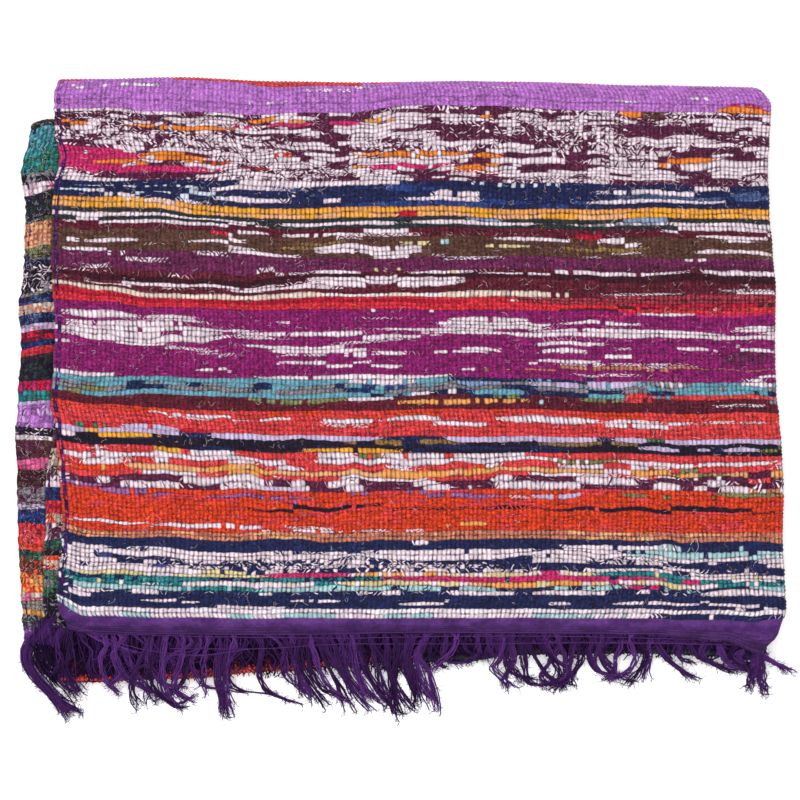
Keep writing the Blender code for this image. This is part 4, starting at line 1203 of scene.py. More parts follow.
def cell_yarns(line, column, heading):
    """Colours for a cell whose lower left corner is at this line and column of the whole cloth."""
    row = np.clip((line - HEADING_LINES) // 2, 0, len(ROWS) - 1)
    inner = column >= Q_INNER
    column = np.minimum(column, COLUMNS - 1)
    inner_half = COL_HALF[column]
    over = np.where(COL_LEAF[column] == 2, Q_EDGE - inner_half, inner_half - 1)
    half = np.where(inner, over + 1, column)
    bead = np.clip(half // 2, 0, BEADS - 1)
    own = YARN[row, bead]
    strip = row > HIDDEN_ROW
    rng = np.random.default_rng(SEED + 5)
    shade = rng.uniform(0.8, 1.16, YARN.shape)[row, bead]
    shade = np.where(strip, shade**3 * 0.9, shade)
    colour = PALETTE[own] * shade[:, None]
    amount = AMOUNT[row, bead].copy()
    from_edge = np.where(inner, inner_half - 1, np.minimum(half, Q_EDGE - 1 - half))
    cord = (from_edge == CORD_HALVES[0]) | (from_edge == CORD_HALVES[1])
    chance = rng.random(YARN.shape + (2,))[row, bead, from_edge % 2]
    both = rng.random(YARN.shape)[row, bead] < 0.5
    cord &= ((chance < 0.45) | both) & ~heading & (~strip | (chance < 0.1))
    tone = colour_of("warp") * rng.uniform(0.3, 1.3, YARN.shape)[row, bead][:, None]
    pale = (own == yarn_index("lavender"))[:, None]
    colour = np.where(cord[:, None], np.where(pale, tone * 0.5 + colour * 0.42, tone), colour)
    amount[cord] = 0.05
    colour[heading] = colour_of("warp")
    amount[heading] = 0
    # How strong the painted shade in the gaps round each bead is, where the dark warp shows too; the rag
    # colour's alpha carries it
    uneven = rng.uniform(0.45, 1.2, YARN.shape)[row, bead] * np.where(strip, 0.6, 1.0)
    gap_shade = np.where(cord | heading, PLAIN_GAP_SHADE, YARN_GAP_SHADE[own] * uneven)
    return np.c_[colour, gap_shade], np.c_[PALETTE[SECOND[row, bead]], amount]


def set_uv(mesh, name, u, v):
    mesh.uv_layers.new(name=name).data.foreach_set("uv", np.stack([u, v], axis=1).ravel())


def linked(name, data):
    """An object of the scene for a mesh, a light or a camera."""
    made = bpy.data.objects.new(name, data)
    bpy.context.scene.collection.objects.link(made)
    return made


def cloth_object(name, lines, fill):
    """Builds one sheet. fill(sheet) sets out its cells."""
    sheet = Sheet(lines)
    fill(sheet)
    faces, used = sheet.faces()
    caps = sheet.caps(used)
    faces += caps
    totals = np.array([len(face) for face in faces])
    line, column = np.array([corner for face in faces for corner in face]).T
    used = used[:, :COLUMNS]
    ids = np.cumsum(used.ravel()).reshape(used.shape) - 1
    corners = np.split(ids[line, column % COLUMNS], np.cumsum(totals)[:-1])
    mesh = bpy.data.meshes.new(name)
    mesh.from_pydata(cloth_points(lines)[used].tolist(), [], [face.tolist() for face in corners])

    cells = sheet.cells + [(face[0][0], 0, face[0][1], face[0][1] + 1) for face in caps]
    low, _, west, east = np.array(cells).T
    low = low + lines.start
    middle = np.minimum(west, COLUMNS - 1)
    middle = np.where(middle < Q_INNER, middle + (east - west) // 2, middle)
    heading = GAP_ROW[np.clip(low, 0, LINES - 2)] < 0
    face_of = np.repeat(np.arange(len(faces)), totals)
    for layer, colours in zip(("rag", "fleck"), cell_yarns(low, middle, heading)):
        layer = mesh.attributes.new(layer, "FLOAT_COLOR", "CORNER")
        layer.data.foreach_set("color", colours[face_of].ravel())

    half = np.where(column < Q_INNER, column, COL_HALF[np.minimum(column, COLUMNS - 1)] + 1)
    set_uv(mesh, "weave", half / 2, (line + lines.start - HEADING_LINES) / 2)
    # The outer face of P takes three quarters of the OFBake map, the rest a strip above it
    outer = (column <= Q_OUTER) & (west < Q_OUTER)[face_of]
    is_cap = face_of >= len(faces) - len(caps)
    tall = line / sheet.last
    u = np.where(outer, column / Q_OUTER, (column - Q_OUTER) / (COLUMNS - Q_OUTER))
    u = np.where(is_cap, np.minimum(column, COLUMNS) / COLUMNS, u)
    v = np.where(outer, tall * 0.76, 0.77 + tall * 0.22)
    v = np.where(is_cap, 0.995 + 0.004 * (column >= Q_INNER), v)
    set_uv(mesh, "OFBake", u, v)
    mesh.polygons.foreach_set("material_index", heading.astype(int))
    mesh.polygons.foreach_set("use_smooth", np.arange(len(faces)) < len(faces) - len(caps))
    mesh.update()
    return linked(name, mesh)


def fill_top(sheet):
    last = sheet.last
    sheet.block(0, last, 0, Q_OUTER)
    sheet.block(0, last, Q_OUTER, Q_EDGE - COARSE, BACK_LINES, COARSE)
    sheet.block(0, last, Q_EDGE - COARSE, Q_EDGE, 2, 2)
    sheet.block(0, last, Q_EDGE, Q_INNER, 2)
    sheet.block(0, last, Q_INNER, P_FINE, PLAIN_LINES)
    sheet.block(0, last, P_FINE, COLUMNS - 1, PLAIN_LINES, COARSE)
    sheet.block(0, last, COLUMNS - 1, COLUMNS)


def fill_under(sheet):
    """Fine cells where the turns and the strip at the left show, coarse ones elsewhere."""
    lines = [0] + [line_near(s) - sheet.lines.start for s in CELL_LIMITS] + [sheet.last]
    for number, (begin, end) in enumerate(zip(lines, lines[1:])):
        turn = number in (0, 2)
        strip = number == 4
        if turn:
            sheet.block(begin, end, 0, LEAF_HALVES)
        else:
            sheet.block(begin, end, 0, COARSE)
            sheet.block(begin, end, COARSE, LEAF_HALVES, 2, COARSE)
        edge = EDGE_HALVES if strip else COARSE
        sheet.block(begin, end, LEAF_HALVES, Q_OUTER)
        sheet.block(begin, end, Q_OUTER, Q_EDGE - edge, BACK_LINES, COARSE)
        sheet.block(begin, end, Q_EDGE - edge, Q_INNER)
        sheet.block(begin, end, Q_INNER, P_FINE, PLAIN_LINES)
        if strip:
            sheet.block(begin, end, P_FINE, COLUMNS)
        else:
            sheet.block(begin, end, P_FINE, COLUMNS - 1, PLAIN_LINES, COARSE)
            sheet.block(begin, end, COLUMNS - 1, COLUMNS)


# ---- Materials ------------------------------------------------------------------------------------

TWO_TURNS = 12.566  # in radians
# Linear colours
# Painted shade in the gaps between beads: a darker copy of a bead's colour, and a dark purple that is also
# the warp's
GAP_SHADE_TINT = (0.17, 0.13, 0.18, 1.0)
GAP_SHADE_DARK = (0.026, 0.008, 0.034, 1.0)
HEADING_DEEP = (0.050, 0.012, 0.098, 1.0)
HEADING_PALE = (0.104, 0.030, 0.180, 1.0)
# Painted shade in the dotted lines where the heading's wefts part
HEADING_GAP_SHADE = (0.008, 0.002, 0.018, 1.0)


class Value:
    """A number that varies over the surface. Arithmetic on it adds Math nodes."""

    def __init__(self, nodes, socket):
        self.nodes = nodes
        self.socket = socket

    def __add__(self, other):
        return self.nodes.math("ADD", self, other)

    def __sub__(self, other):
        return self.nodes.math("SUBTRACT", self, other)

    def __mul__(self, other):
        return self.nodes.math("MULTIPLY", self, other)

    def __pow__(self, other):
        return self.nodes.math("POWER", self, other)

    def __abs__(self):
        return self.nodes.math("ABSOLUTE", self)

    def scaled(self, by, plus):
        return self.nodes.math("MULTIPLY_ADD", self, by, plus)

    def ramp(self, low, high, to_low=0.0, to_high=1.0):
        """Eases from to_low at low to to_high at high."""
        node, out = self.nodes.node("MapRange", self, low, high, to_low, to_high)
        node.interpolation_type = "SMOOTHSTEP"
        return out


class Nodes:
    """Short calls for a material's nodes."""

    def __init__(self, name, roughness, sheen, specular=0.2):
        self.material = bpy.data.materials.new(name)
        self.material.use_nodes = True
        self.tree = self.material.node_tree
        self.shader = self.tree.nodes["Principled BSDF"].inputs
        self.shader["Roughness"].default_value = roughness
        self.shader["Sheen Weight"].default_value = sheen
        self.shader["Sheen Roughness"].default_value = 0.5
        self.shader["Specular IOR Level"].default_value = specular

    def put(self, socket, value):
        """Links or sets a socket."""
        value = getattr(value, "socket", value)
        if hasattr(value, "is_output"):
            self.tree.links.new(value, socket)
        else:
            socket.default_value = value

    def node(self, kind, *values):
        """A new node with its first inputs set, and its first output."""
        node = self.tree.nodes.new("ShaderNode" + kind)
        for socket, value in zip(node.inputs, values):
            self.put(socket, value)
        return node, Value(self, node.outputs[0])

    def math(self, kind, *values):
        node, out = self.node("Math", *values)
        node.operation = kind
        return out

    def mix(self, factor, one, two, kind="MIX"):
        node, _ = self.node("Mix")
        node.data_type = "RGBA"
        node.blend_type = kind
        for name, value in (("Factor", factor), ("A", one), ("B", two)):
            self.put(node.inputs[name], value)
        return node.outputs["Result"]

    def shaded(self, colour, *tones):
        """A colour times some numbers."""
        for tone in tones:
            colour = self.mix(1.0, colour, self.vector(tone, tone, tone), "MULTIPLY")
        return colour

    def noise(self, vector, detail=2.0, distortion=0.0):
        node, out = self.node("TexNoise", vector)
        for name, value in (("Scale", 1.0), ("Detail", detail), ("Distortion", distortion)):
            node.inputs[name].default_value = value
        return out

    def attribute(self, name):
        """An attribute's colour and its alpha."""
        node, _ = self.node("Attribute")
        node.attribute_name = name
        return node.outputs["Color"], Value(self, node.outputs["Alpha"])

    def uv(self, name):
        node, out = self.node("UVMap")
        node.uv_map = name
        split, u = self.node("SeparateXYZ", out)
        return u, Value(self, split.outputs[1])

    def vector(self, x, y, z=0.0):
        return self.node("CombineXYZ", x, y, z)[1]

    def place(self, x, y, z):
        """The place on the object, with each axis scaled."""
        coordinates, _ = self.node("TexCoord")
        node, out = self.node("Mapping", coordinates.outputs["Object"])
        node.inputs["Scale"].default_value = (x, y, z)
        return out

    def finish(self, colour, height, depth, strength):
        self.put(self.shader["Base Color"], colour)
        bump, out = self.node("Bump", strength, depth)
        self.put(bump.inputs["Height"], height)
        self.put(self.shader["Normal"], out)
        return self.material


def rag_material():
    """Rags: u counts beads and v rows, so each bead has its own slant and flecks, a painted highlight in
    its middle and painted shade at its edges.
    """
    n = Nodes("woven_rags", 0.92, 0.06)
    u, v = n.uv("weave")
    rag, gap_shade_strength = n.attribute("rag")
    fleck, amount = n.attribute("fleck")
    wobble = n.noise(n.vector(u * 1.7, v * 1.7)) - 0.5
    bead_x = n.math("FRACT", u) - 0.5
    bead_y = n.math("FRACT", v) - 0.5
    chance = n.node("TexWhiteNoise", n.vector(n.math("FLOOR", u), n.math("FLOOR", v)))[1] - 0.5
    fibres = n.noise(n.place(1500, 2200, 1500), 3.0)
    threads = n.noise(n.place(430, 620, 430), 3.0, 1.4)
    patches = n.noise(n.place(70, 130, 70))
    spots = n.noise(n.place(170, 300, 170))

    # The second yarn shows as a slanting fleck across the bead
    slant = bead_y - bead_x * (chance * 4.4) + chance * 0.5 + wobble * 0.7
    shown = (abs(slant) - amount.scaled(0.9, -0.07)).ramp(0.04, -0.06)
    colour = n.mix(shown, rag, fleck)

    # From a bead's middle to its sides and its ends
    side = (abs(bead_x) * 2.0 + wobble * 0.42) * chance.scaled(0.26, 1.0)
    side = n.math("MAXIMUM", side, 0.0) ** 3.0
    soft = gap_shade_strength.ramp(0.4, 0.9, 0.72, 1.0)
    faint = n.noise(n.place(260, 420, 260)).ramp(0.36, 0.6, 0.86, 1.08)
    over = n.math("MAXIMUM", abs(bead_y) * 1.9 + wobble * 0.3, 0.0) * (soft * faint)
    over = over**3.4
    edge = (side + over) ** 0.31

    grey, _ = n.node("RGBToBW", colour)
    dull = Value(n, grey.outputs[0]).ramp(0.02, 0.5, 1.0, 0.14)
    tone = threads.ramp(0.34, 0.68, -0.62, 1.0).scaled(dull * 0.9, 0.93)
    tone = tone * fibres.ramp(0.25, 0.75, 0.78, 1.16) * patches.ramp(0.25, 0.75, 0.9, 1.08)
    # Painted highlight in a bead's middle and painted shade towards its sides and ends
    colour = n.shaded(colour, tone * edge.ramp(0.1, 0.95, 1.05, 0.7))
    # Painted shade in the gaps between beads, where the dark warp also shows, and more of it at the beads'
    # corners
    shaded_gap_colour = n.mix(1.0, colour, GAP_SHADE_TINT, "MULTIPLY")
    shaded_gap_colour = n.mix(0.2, shaded_gap_colour, GAP_SHADE_DARK)
    corner = ((side * over) ** 0.3).ramp(0.3, 0.85, 0.66, 1.3)
    gap_shade = edge.ramp(0.46, 0.98) * spots.ramp(0.32, 0.62, 0.4, 1.1) * corner
    colour = n.mix(gap_shade * gap_shade_strength, colour, shaded_gap_colour)
    return n.finish(colour, edge.ramp(1.1, 0.2) + fibres * 0.5 + threads * 0.6, 0.0006, 0.8)


def heading_material():
    """Plain purple weave with painted shade and highlight on its weave, darker towards the end, and dotted
    lines of painted shade near the end, where the wefts part.
    """
    n = Nodes("heading_weave", 0.9, 0.05)
    u, v = n.uv("weave")
    from_end = (v + HEADING_LINES / 2) * 2.0
    low = n.noise(n.place(60, 130, 60), 3.0)
    mid = n.noise(n.place(330, 420, 330), 3.0, 0.5)
    fine = n.noise(n.place(1700, 900, 900))
    weave = n.math("SINE", v * 19.0) * n.math("SINE", u * 12.6)
    colour = n.mix(low.ramp(0.3, 0.72), HEADING_DEEP, HEADING_PALE)
    # Painted shade and highlight follow the weave's dips and rises
    colour = n.shaded(
        colour,
        weave.ramp(-1, 1, 0.82, 1.14),
        fine.ramp(0.3, 0.7, 0.78, 1.16),
        mid.ramp(0.3, 0.7, 0.78, 1.22),
        from_end.ramp(6.5, 0.5, 1.1, 0.72),
    )
    # Dotted lines of painted shade where the wefts part near the end
    line = abs(n.math("FRACT", from_end + low * 0.9) - 0.5).ramp(0.34, 0.14)
    dots = n.math("SINE", u * TWO_TURNS + mid * 5.0).ramp(-0.4, 0.4)
    lines = line * from_end.ramp(4.6, 2.4) * dots
    colour = n.mix(lines * 0.85, colour, HEADING_GAP_SHADE)
    return n.finish(colour, weave * 0.4 + fine * 0.6 + mid - lines, 0.0004, 0.8)


def yarn_material():
    """Twisted yarn in the tone of its own tube: u goes round it and v along it, in millimetres."""
    n = Nodes("fringe_yarn", 0.95, 0.0, 0.08)
    u, v = n.uv("yarn")
    tone, _ = n.attribute("tone")
    ply = n.math("SINE", v * 3.6 + u * TWO_TURNS)
    fibres = n.noise(n.place(1800, 1800, 1800))
    # Painted shade in the grooves of the twist, and lighter on its plies
    colour = n.shaded(tone, ply.ramp(-1, 1, 0.66, 1.22), fibres.ramp(0.3, 0.7, 0.72, 1.24))
    return n.finish(colour, ply * 0.5 + fibres, 0.0002, 0.7)


# ---- Yarns as thin tubes --------------------------------------------------------------------------


class Tubes:
    """Collects tubes and joins them in one mesh."""

    def __init__(self, sides):
        self.sides = sides
        self.points = []
        self.quads = []
        self.ends = []
        self.tones = []
        self.uvs = []
        self.strips = []
        self.count = 0

    def add(self, path, radius, tone):
        """path is an array of points in millimetres, radius a number for each point."""
        path = np.asarray(path, float)
        radius = np.broadcast_to(radius, len(path))
        along = np.gradient(path, axis=0)
        along /= np.maximum(np.linalg.norm(along, axis=1), 1e-9)[:, None]
        side = np.cross(along, [0.0, 0.0, 1.0])
        weak = np.linalg.norm(side, axis=1) < 0.2
        side[weak] = np.cross(along[weak], [1.0, 0.0, 0.0])
        side /= np.linalg.norm(side, axis=1)[:, None]
        over = np.cross(side, along)
        angles = (2 * math.pi * np.arange(self.sides) / self.sides)[:, None]
        ring = np.cos(angles) * side[:, None] + np.sin(angles) * over[:, None]
        self.points.append((path[:, None] + ring * radius[:, None, None]).reshape(-1, 3))
        n, k = len(path), self.sides
        index = self.count + np.arange(n * k).reshape(n, k)
        turned = np.roll(index, -1, axis=1)
        quads = np.stack([index[:-1], turned[:-1], turned[1:], index[1:]], axis=2)
        self.quads.append(quads.reshape(-1, 4))
        self.ends += [index[0][::-1].tolist(), index[-1].tolist()]
        west = np.tile(np.arange(k) / k, n - 1)
        east = west + 1 / k

        def strip(at):
            low = np.repeat(at[:-1], k)
            high = np.repeat(at[1:], k)
            corners = [west, low, east, low, east, high, west, high]
            return np.stack(corners, axis=1).reshape(-1, 2)

        length = np.concatenate([[0], np.cumsum(np.linalg.norm(np.diff(path, axis=0), axis=1))])
        self.uvs.append(strip(length))
        self.strips.append(strip(length / max(length[-1], 1e-6)))
        self.tones.append(np.tile(np.append(tone, 1.0), (n * k, 1)))
        self.count += n * k

    def build(self, name, material):
        """The object, whose second UV map gives each tube a cell of its own."""
        mesh = bpy.data.meshes.new(name)
        points = np.concatenate(self.points) - (MIDDLE_X, MIDDLE_Y, 0)
        mesh.from_pydata((points * MM).tolist(), [], np.concatenate(self.quads).tolist() + self.ends)
        tone = mesh.attributes.new("tone", "FLOAT_COLOR", "POINT")
        tone.data.foreach_set("color", np.concatenate(self.tones).ravel())
        number = len(self.strips)
        end_corners = np.repeat(np.arange(number), 2 * self.sides)
        set_uv(mesh, "yarn", *np.concatenate([*self.uvs, np.zeros((len(end_corners), 2))]).T)
        wide = math.ceil(math.sqrt(number * 6))
        tall = math.ceil(number / wide)
        placed = []
        for index, strip in enumerate(self.strips):
            cell = np.array([index % wide, index // wide])
            placed.append((cell + 0.06 + strip * 0.88) / (wide, tall))
        ends = [(end_corners % wide + 0.5) / wide, (end_corners // wide + 0.97) / tall]
        set_uv(mesh, "OFBake", *np.concatenate([*placed, np.stack(ends, axis=1)]).T)
        mesh.polygons.foreach_set("use_smooth", np.ones(len(mesh.polygons), bool))
        mesh.materials.append(material)
        mesh.update()
        return linked(name, mesh)


def curve_through(points, count):
    """A smooth path of count points through these ones."""
    points = np.asarray(points, float)
    padded = np.vstack([2 * points[0] - points[1], points, 2 * points[-1] - points[-2]])
    spans = len(points) - 1
    at = np.linspace(0, spans, count)
    span = np.minimum(at.astype(int), spans - 1)
    t = (at - span)[:, None]
    p0, p1, p2, p3 = (padded[span + k] for k in range(4))
    return 0.5 * (
        2 * p1
        + (p2 - p0) * t
        + (2 * p0 - 5 * p1 + 4 * p2 - p3) * t**2
        + (3 * p1 - p0 - 3 * p2 + p3) * t**3
    )


# ---- The fringe -----------------------------------------------------------------------------------
# The locks that show: photo_x of the root, number of yarns, then photo_x and photo_y of each bend
LOCKS = (
    (112, 7, 114, 645, 118, 662, 128, 680, 150, 694), (126, 7, 124, 645, 132, 668, 146, 690, 150, 706),
    (154, 7, 152, 640, 148, 662, 162, 684, 186, 690), (168, 7, 166, 640, 162, 664, 166, 690, 180, 712),
    (182, 7, 184, 640, 180, 664, 172, 690, 190, 704), (194, 7, 196, 640, 186, 668, 176, 690, 150, 704),
    (225, 6, 228, 645, 222, 672, 222, 698, 226, 717), (290, 7, 292, 640, 296, 668, 306, 690, 316, 704),
    (304, 7, 306, 640, 308, 664, 320, 688, 340, 700), (316, 7, 318, 640, 326, 664, 338, 688, 350, 714),
    (330, 7, 332, 640, 340, 664, 356, 688, 370, 698), (345, 7, 346, 640, 350, 664, 366, 690, 384, 708),
    (357, 7, 358, 640, 362, 664, 376, 690, 396, 712), (370, 7, 370, 640, 376, 664, 382, 690, 392, 706),
    (384, 8, 386, 640, 388, 664, 398, 690, 412, 712), (398, 8, 400, 640, 400, 664, 412, 686, 416, 706),
    (411, 8, 412, 640, 408, 660, 420, 686, 432, 704), (424, 8, 424, 640, 416, 660, 426, 690, 434, 712),
    (446, 6, 446, 642, 444, 656, 452, 664, 474, 662), (496, 6, 498, 642, 502, 656, 516, 670, 524, 684),
    (507, 6, 508, 640, 506, 662, 514, 676, 540, 682), (530, 7, 528, 642, 538, 662, 552, 680, 570, 688),
    (546, 6, 546, 642, 556, 660, 570, 672, 574, 686), (565, 7, 562, 642, 552, 662, 542, 680, 560, 690),
    (580, 6, 578, 642, 582, 660, 574, 676, 562, 690), (594, 5, 596, 642, 606, 660, 616, 672, 606, 682),
    (632, 5, 630, 642, 636, 660, 628, 674, 612, 680), (62, 4, 60, 632, 58, 645, 60, 660, 56, 672),
    (70, 6, 71, 640, 70, 655, 64, 668, 72, 690), (80, 5, 84, 640, 92, 652, 88, 668, 96, 682),
    (92, 3, 100, 640, 128, 650, 165, 657, 212, 655), (104, 5, 106, 645, 100, 662, 106, 684, 122, 700),
    (118, 5, 122, 640, 112, 655, 118, 676, 108, 688), (132, 5, 140, 640, 158, 652, 172, 660, 176, 676),
    (146, 6, 146, 645, 136, 668, 130, 690, 138, 711),
    (160, 6, 158, 645, 150, 668, 152, 690, 172, 708, 188, 709),
    (176, 6, 180, 645, 172, 655, 140, 668, 108, 686),
    (188, 5, 190, 645, 166, 660, 160, 690, 176, 706, 190, 698),
    (199, 4, 200, 645, 192, 665, 205, 688, 228, 690), (208, 4, 207, 645, 202, 670, 202, 698),
    (219, 8, 220, 645, 216, 672, 219, 698, 222, 719), (232, 8, 234, 645, 226, 668, 226, 696, 231, 718),
    (246, 5, 244, 645, 228, 664, 232, 690, 268, 697), (256, 7, 262, 648, 258, 672, 266, 692, 296, 706),
    (270, 7, 276, 640, 284, 652, 283, 672, 292, 690), (284, 6, 288, 645, 296, 665, 299, 690, 306, 697),
    (297, 8, 300, 640, 298, 662, 312, 690, 328, 711), (311, 6, 312, 645, 318, 668, 330, 690, 352, 708),
    (322, 8, 324, 642, 332, 662, 346, 682, 358, 706), (338, 7, 342, 645, 343, 665, 352, 690, 372, 713),
    (350, 8, 352, 640, 354, 662, 360, 690, 368, 702), (363, 6, 360, 645, 366, 672, 384, 700, 398, 716),
    (376, 5, 372, 640, 384, 660, 392, 690, 388, 714), (392, 10, 396, 640, 396, 664, 392, 690, 400, 721),
    (404, 7, 408, 638, 404, 655, 409, 676, 421, 709), (418, 6, 412, 640, 406, 654, 412, 672, 422, 705),
    (430, 8, 424, 640, 419, 656, 430, 676, 438, 716), (438, 5, 432, 642, 430, 658, 440, 667, 446, 668),
    (454, 5, 456, 640, 450, 654, 436, 668, 428, 674), (468, 4, 465, 642, 468, 652, 484, 656),
    (476, 4, 478, 642, 478, 654, 466, 664), (490, 6, 490, 640, 487, 660),
    (502, 5, 504, 644, 500, 660, 496, 672, 518, 690), (512, 7, 512, 640, 514, 664, 506, 678, 504, 690),
    (522, 6, 522, 645, 526, 664, 530, 684, 548, 688), (536, 6, 540, 645, 552, 660, 560, 676, 552, 694),
    (556, 7, 560, 642, 566, 660, 564, 680, 540, 688), (572, 8, 574, 642, 572, 660, 568, 682, 556, 692),
    (586, 7, 592, 642, 589, 656, 600, 674, 630, 680), (600, 5, 602, 645, 596, 660, 606, 676, 640, 674),
    (610, 6, 608, 642, 600, 655, 612, 674, 634, 684), (624, 5, 622, 642, 617, 660, 616, 678, 612, 683),
    (640, 7, 642, 642, 648, 660, 640, 674, 631, 686), (652, 5, 650, 645, 652, 664, 648, 682),
    (660, 11, 658, 642, 668, 660, 684, 672, 698, 682), (676, 5, 680, 645, 680, 656, 690, 664),
    (688, 11, 690, 645, 700, 658, 716, 666, 736, 674), (703, 9, 704, 645, 702, 656, 712, 664),
    (716, 12, 720, 645, 724, 656, 736, 668, 752, 673), (730, 12, 736, 645, 732, 656, 742, 666, 756, 668),
    (744, 12, 748, 648, 740, 656, 744, 664, 754, 672), (754, 16, 756, 652, 757, 664, 756, 676, 753, 691),
    (760, 14, 760, 652, 762, 668, 764, 682, 769, 696), (768, 13, 762, 654, 772, 662, 782, 667, 793, 674),
)
# The locks at the lower left, of the end under the top one: number of yarns, how wide they spread,
# and for each bend its photo_x, photo_y and height
CORNER_LOCKS = (
    (34, 5.5, (
        (42, 622, 25), (42, 636, 23), (44, 646, 20), (48, 656, 15), (57, 668, 9), (66, 682, 3),
    )),
    (18, 4, (
        (50, 626, 26), (52, 640, 24), (54, 652, 19), (57, 664, 12), (64, 676, 6),
    )),
    (26, 3.2, (
        (29, 640, 18), (24, 650, 14), (24, 662, 7), (31, 676, 2.6), (44, 690, 2), (58, 706, 1.8),
        (67, 722, 1.2),
    )),
    (22, 3, (
        (54, 618, 25), (46, 626, 25), (37, 636, 23), (29, 647, 16), (26, 660, 8.5), (33, 676, 3.4),
        (47, 692, 2.4), (62, 706, 1.8), (77, 713, 1.2),
    )),
    (16, 4, (
        (58, 628, 26), (50, 638, 23), (40, 648, 18), (36, 660, 8), (40, 668, 4), (52, 678, 3), (64, 690, 2),
    )),
    (18, 3.6, (
        (62, 630, 27), (58, 645, 24), (58, 660, 19), (63, 676, 15), (72, 690, 6), (74, 694, 2),
    )),
)
YARN_RADIUS = 0.62
ROOT_GAP = 1.9  # from one warp to the next
LOCK_POINTS = 20
CORNER_POINTS = 26
HAIR_POINTS = 5
# How the fringe falls, over the end under it and the near turn to the floor: how far past the
# near turn, and the height
FALL = (
    (-60, 31.5), (-25, 31), (-20, 29), (-14, 24), (-7.4, 18), (0, 11.5), (7, 5.4), (14, 1.6), (20, 0.8),
    (80, 0.8),
)


def support(x, y):
    """The height on which the fringe lies."""
    return np.interp(across("near_turn", x) - y, *zip(*FALL))


def root_point(x, leaf, under=False):
    """The end of a warp: on the heading's end of the top level or of the end under it."""
    end = across("end_under" if under else "end_top", x)
    level = LEVEL_Z[2] if under else LEVEL_Z[3]
    up = -1 if under else 1
    z = level + up * (LEAF_APART / 2 if leaf == 0 else -LEAF_APART / 2)
    return np.array([x, float(end) - 0.1, float(lifted(x, end, z))])


def fray(fuzz, path, rng, tone, hairs=4, tips=4):
    """Fine fibres that splay from the tip of a yarn, and that stand off along it."""
    ahead = path[-1] - path[-3]
    way = math.atan2(ahead[1], ahead[0])
    for index in range(tips + hairs):
        at = len(path) - 1
        spread = 0.55
        if index >= tips:
            at = int(rng.integers(len(path) // 3, len(path) - 1))
            spread = 1.1
        turns = way + rng.normal(0, spread) + rng.normal(0, 0.7, HAIR_POINTS - 1).cumsum()
        steps = np.stack([np.cos(turns), np.sin(turns)], axis=1) * rng.uniform(0.6, 1.9)
        xy = path[at, :2] + np.vstack([[0, 0], steps.cumsum(axis=0)])
        z = np.maximum(path[at, 2] + rng.uniform(-0.8, 0.8) * np.linspace(0, 1, HAIR_POINTS), 0.3)
        fuzz.add(np.column_stack([xy, z]), rng.uniform(0.12, 0.24), tone * rng.uniform(0.8, 1.5))


def lock_paths(tubes, fuzz, rng, tones):
    """The locks of the top fringe that show, gathered from the warps of leaf P."""
    roots = np.arange(-272.0, 292.0, ROOT_GAP)
    lock_x = np.array([from_photo_x(lock[0]) for lock in LOCKS])
    owner = np.abs(roots[:, None] - lock_x).argmin(axis=1)
    for index, (_, yarns, *bends) in enumerate(LOCKS):
        own = roots[owner == index]
        if len(own) == 0:
            own = lock_x[index : index + 1]
        own = np.linspace(own.min(), own.max(), max(len(own), yarns) + 1)
        bends = from_photo(np.reshape(bends, (-1, 2)))
        layer = rng.uniform(0.6, 3.2)
        tall = rng.uniform(0.0, 1.0)
        tone = tones[int(rng.integers(len(tones)))]
        turns = rng.uniform(0.6, 1.7) * rng.choice([-1, 1])
        for number, x in enumerate(own):
            root = root_point(x, 0)
            xy = curve_through(np.vstack([root[:2], bends]), LOCK_POINTS)
            share = np.linspace(0, 1, len(xy))
            z = support(*xy.T) + layer * (1 - 0.55 * share) + 1.2 * tall * np.sin(share * 5)
            z = np.maximum(z, YARN_RADIUS)
            z[0] = root[2]
            z[1] = (root[2] + z[2]) / 2
            angle = 2 * math.pi * (number / len(own) + share * turns)
            away = rng.uniform(0.4, 1.0) * (0.7 + 0.16 * len(own))
            away = away + rng.uniform(0, 13.0) * np.clip(share - 0.7, 0, 1)
            held = np.clip(share * 5, 0, 1)
            crimp = 0.5 * np.sin(share * rng.uniform(14, 30) + rng.uniform(0, 6)) * held
            xy[:, 0] += np.cos(angle) * away * held + np.cumsum(rng.normal(0, 0.32, len(xy))) + crimp
            xy[:, 1] += np.sin(angle) * away * 0.25 * held + crimp * rng.uniform(-0.6, 0.6)
            z = z + np.sin(angle) * away * 0.55 * held
            path = np.column_stack([xy, np.maximum(z, YARN_RADIUS)])
            cut = len(path) - int(rng.integers(0, 4))
            thick = YARN_RADIUS * (1.15 - 0.35 * share)[:cut]
            own_tone = tone * rng.uniform(0.6, 1.35)
            tubes.add(path[:cut], thick, own_tone)
            fray(fuzz, path[:cut], rng, own_tone)


def wandering(root, length, drift, rng, tubes, tone, layer, radius, points=13):
    """A yarn that hangs from its root over the turn, with curls of its own."""
    share = np.linspace(0, 1, points)
    curl = rng.uniform(1.0, 6.0) * np.sin(share * rng.uniform(2, 9) + rng.uniform(0, 6)) * share**0.7
    x = root[0] + drift * share**1.3 + curl
    x = x + np.cumsum(rng.normal(0, 0.35, points)) * share
    sag = rng.uniform(0, 3) * np.sin(share * rng.uniform(3, 9)) * share
    y = root[1] - length * share + sag
    z = support(x, y) + layer + rng.uniform(0.0, 1.2) * np.sin(share * rng.uniform(3, 8))
    z = root[2] + (z - root[2]) * np.clip(share * 4, 0, 1)
    z = np.maximum(z, radius)
    tubes.add(np.column_stack([x, y, z]), radius * (1.1 - 0.4 * share), tone)


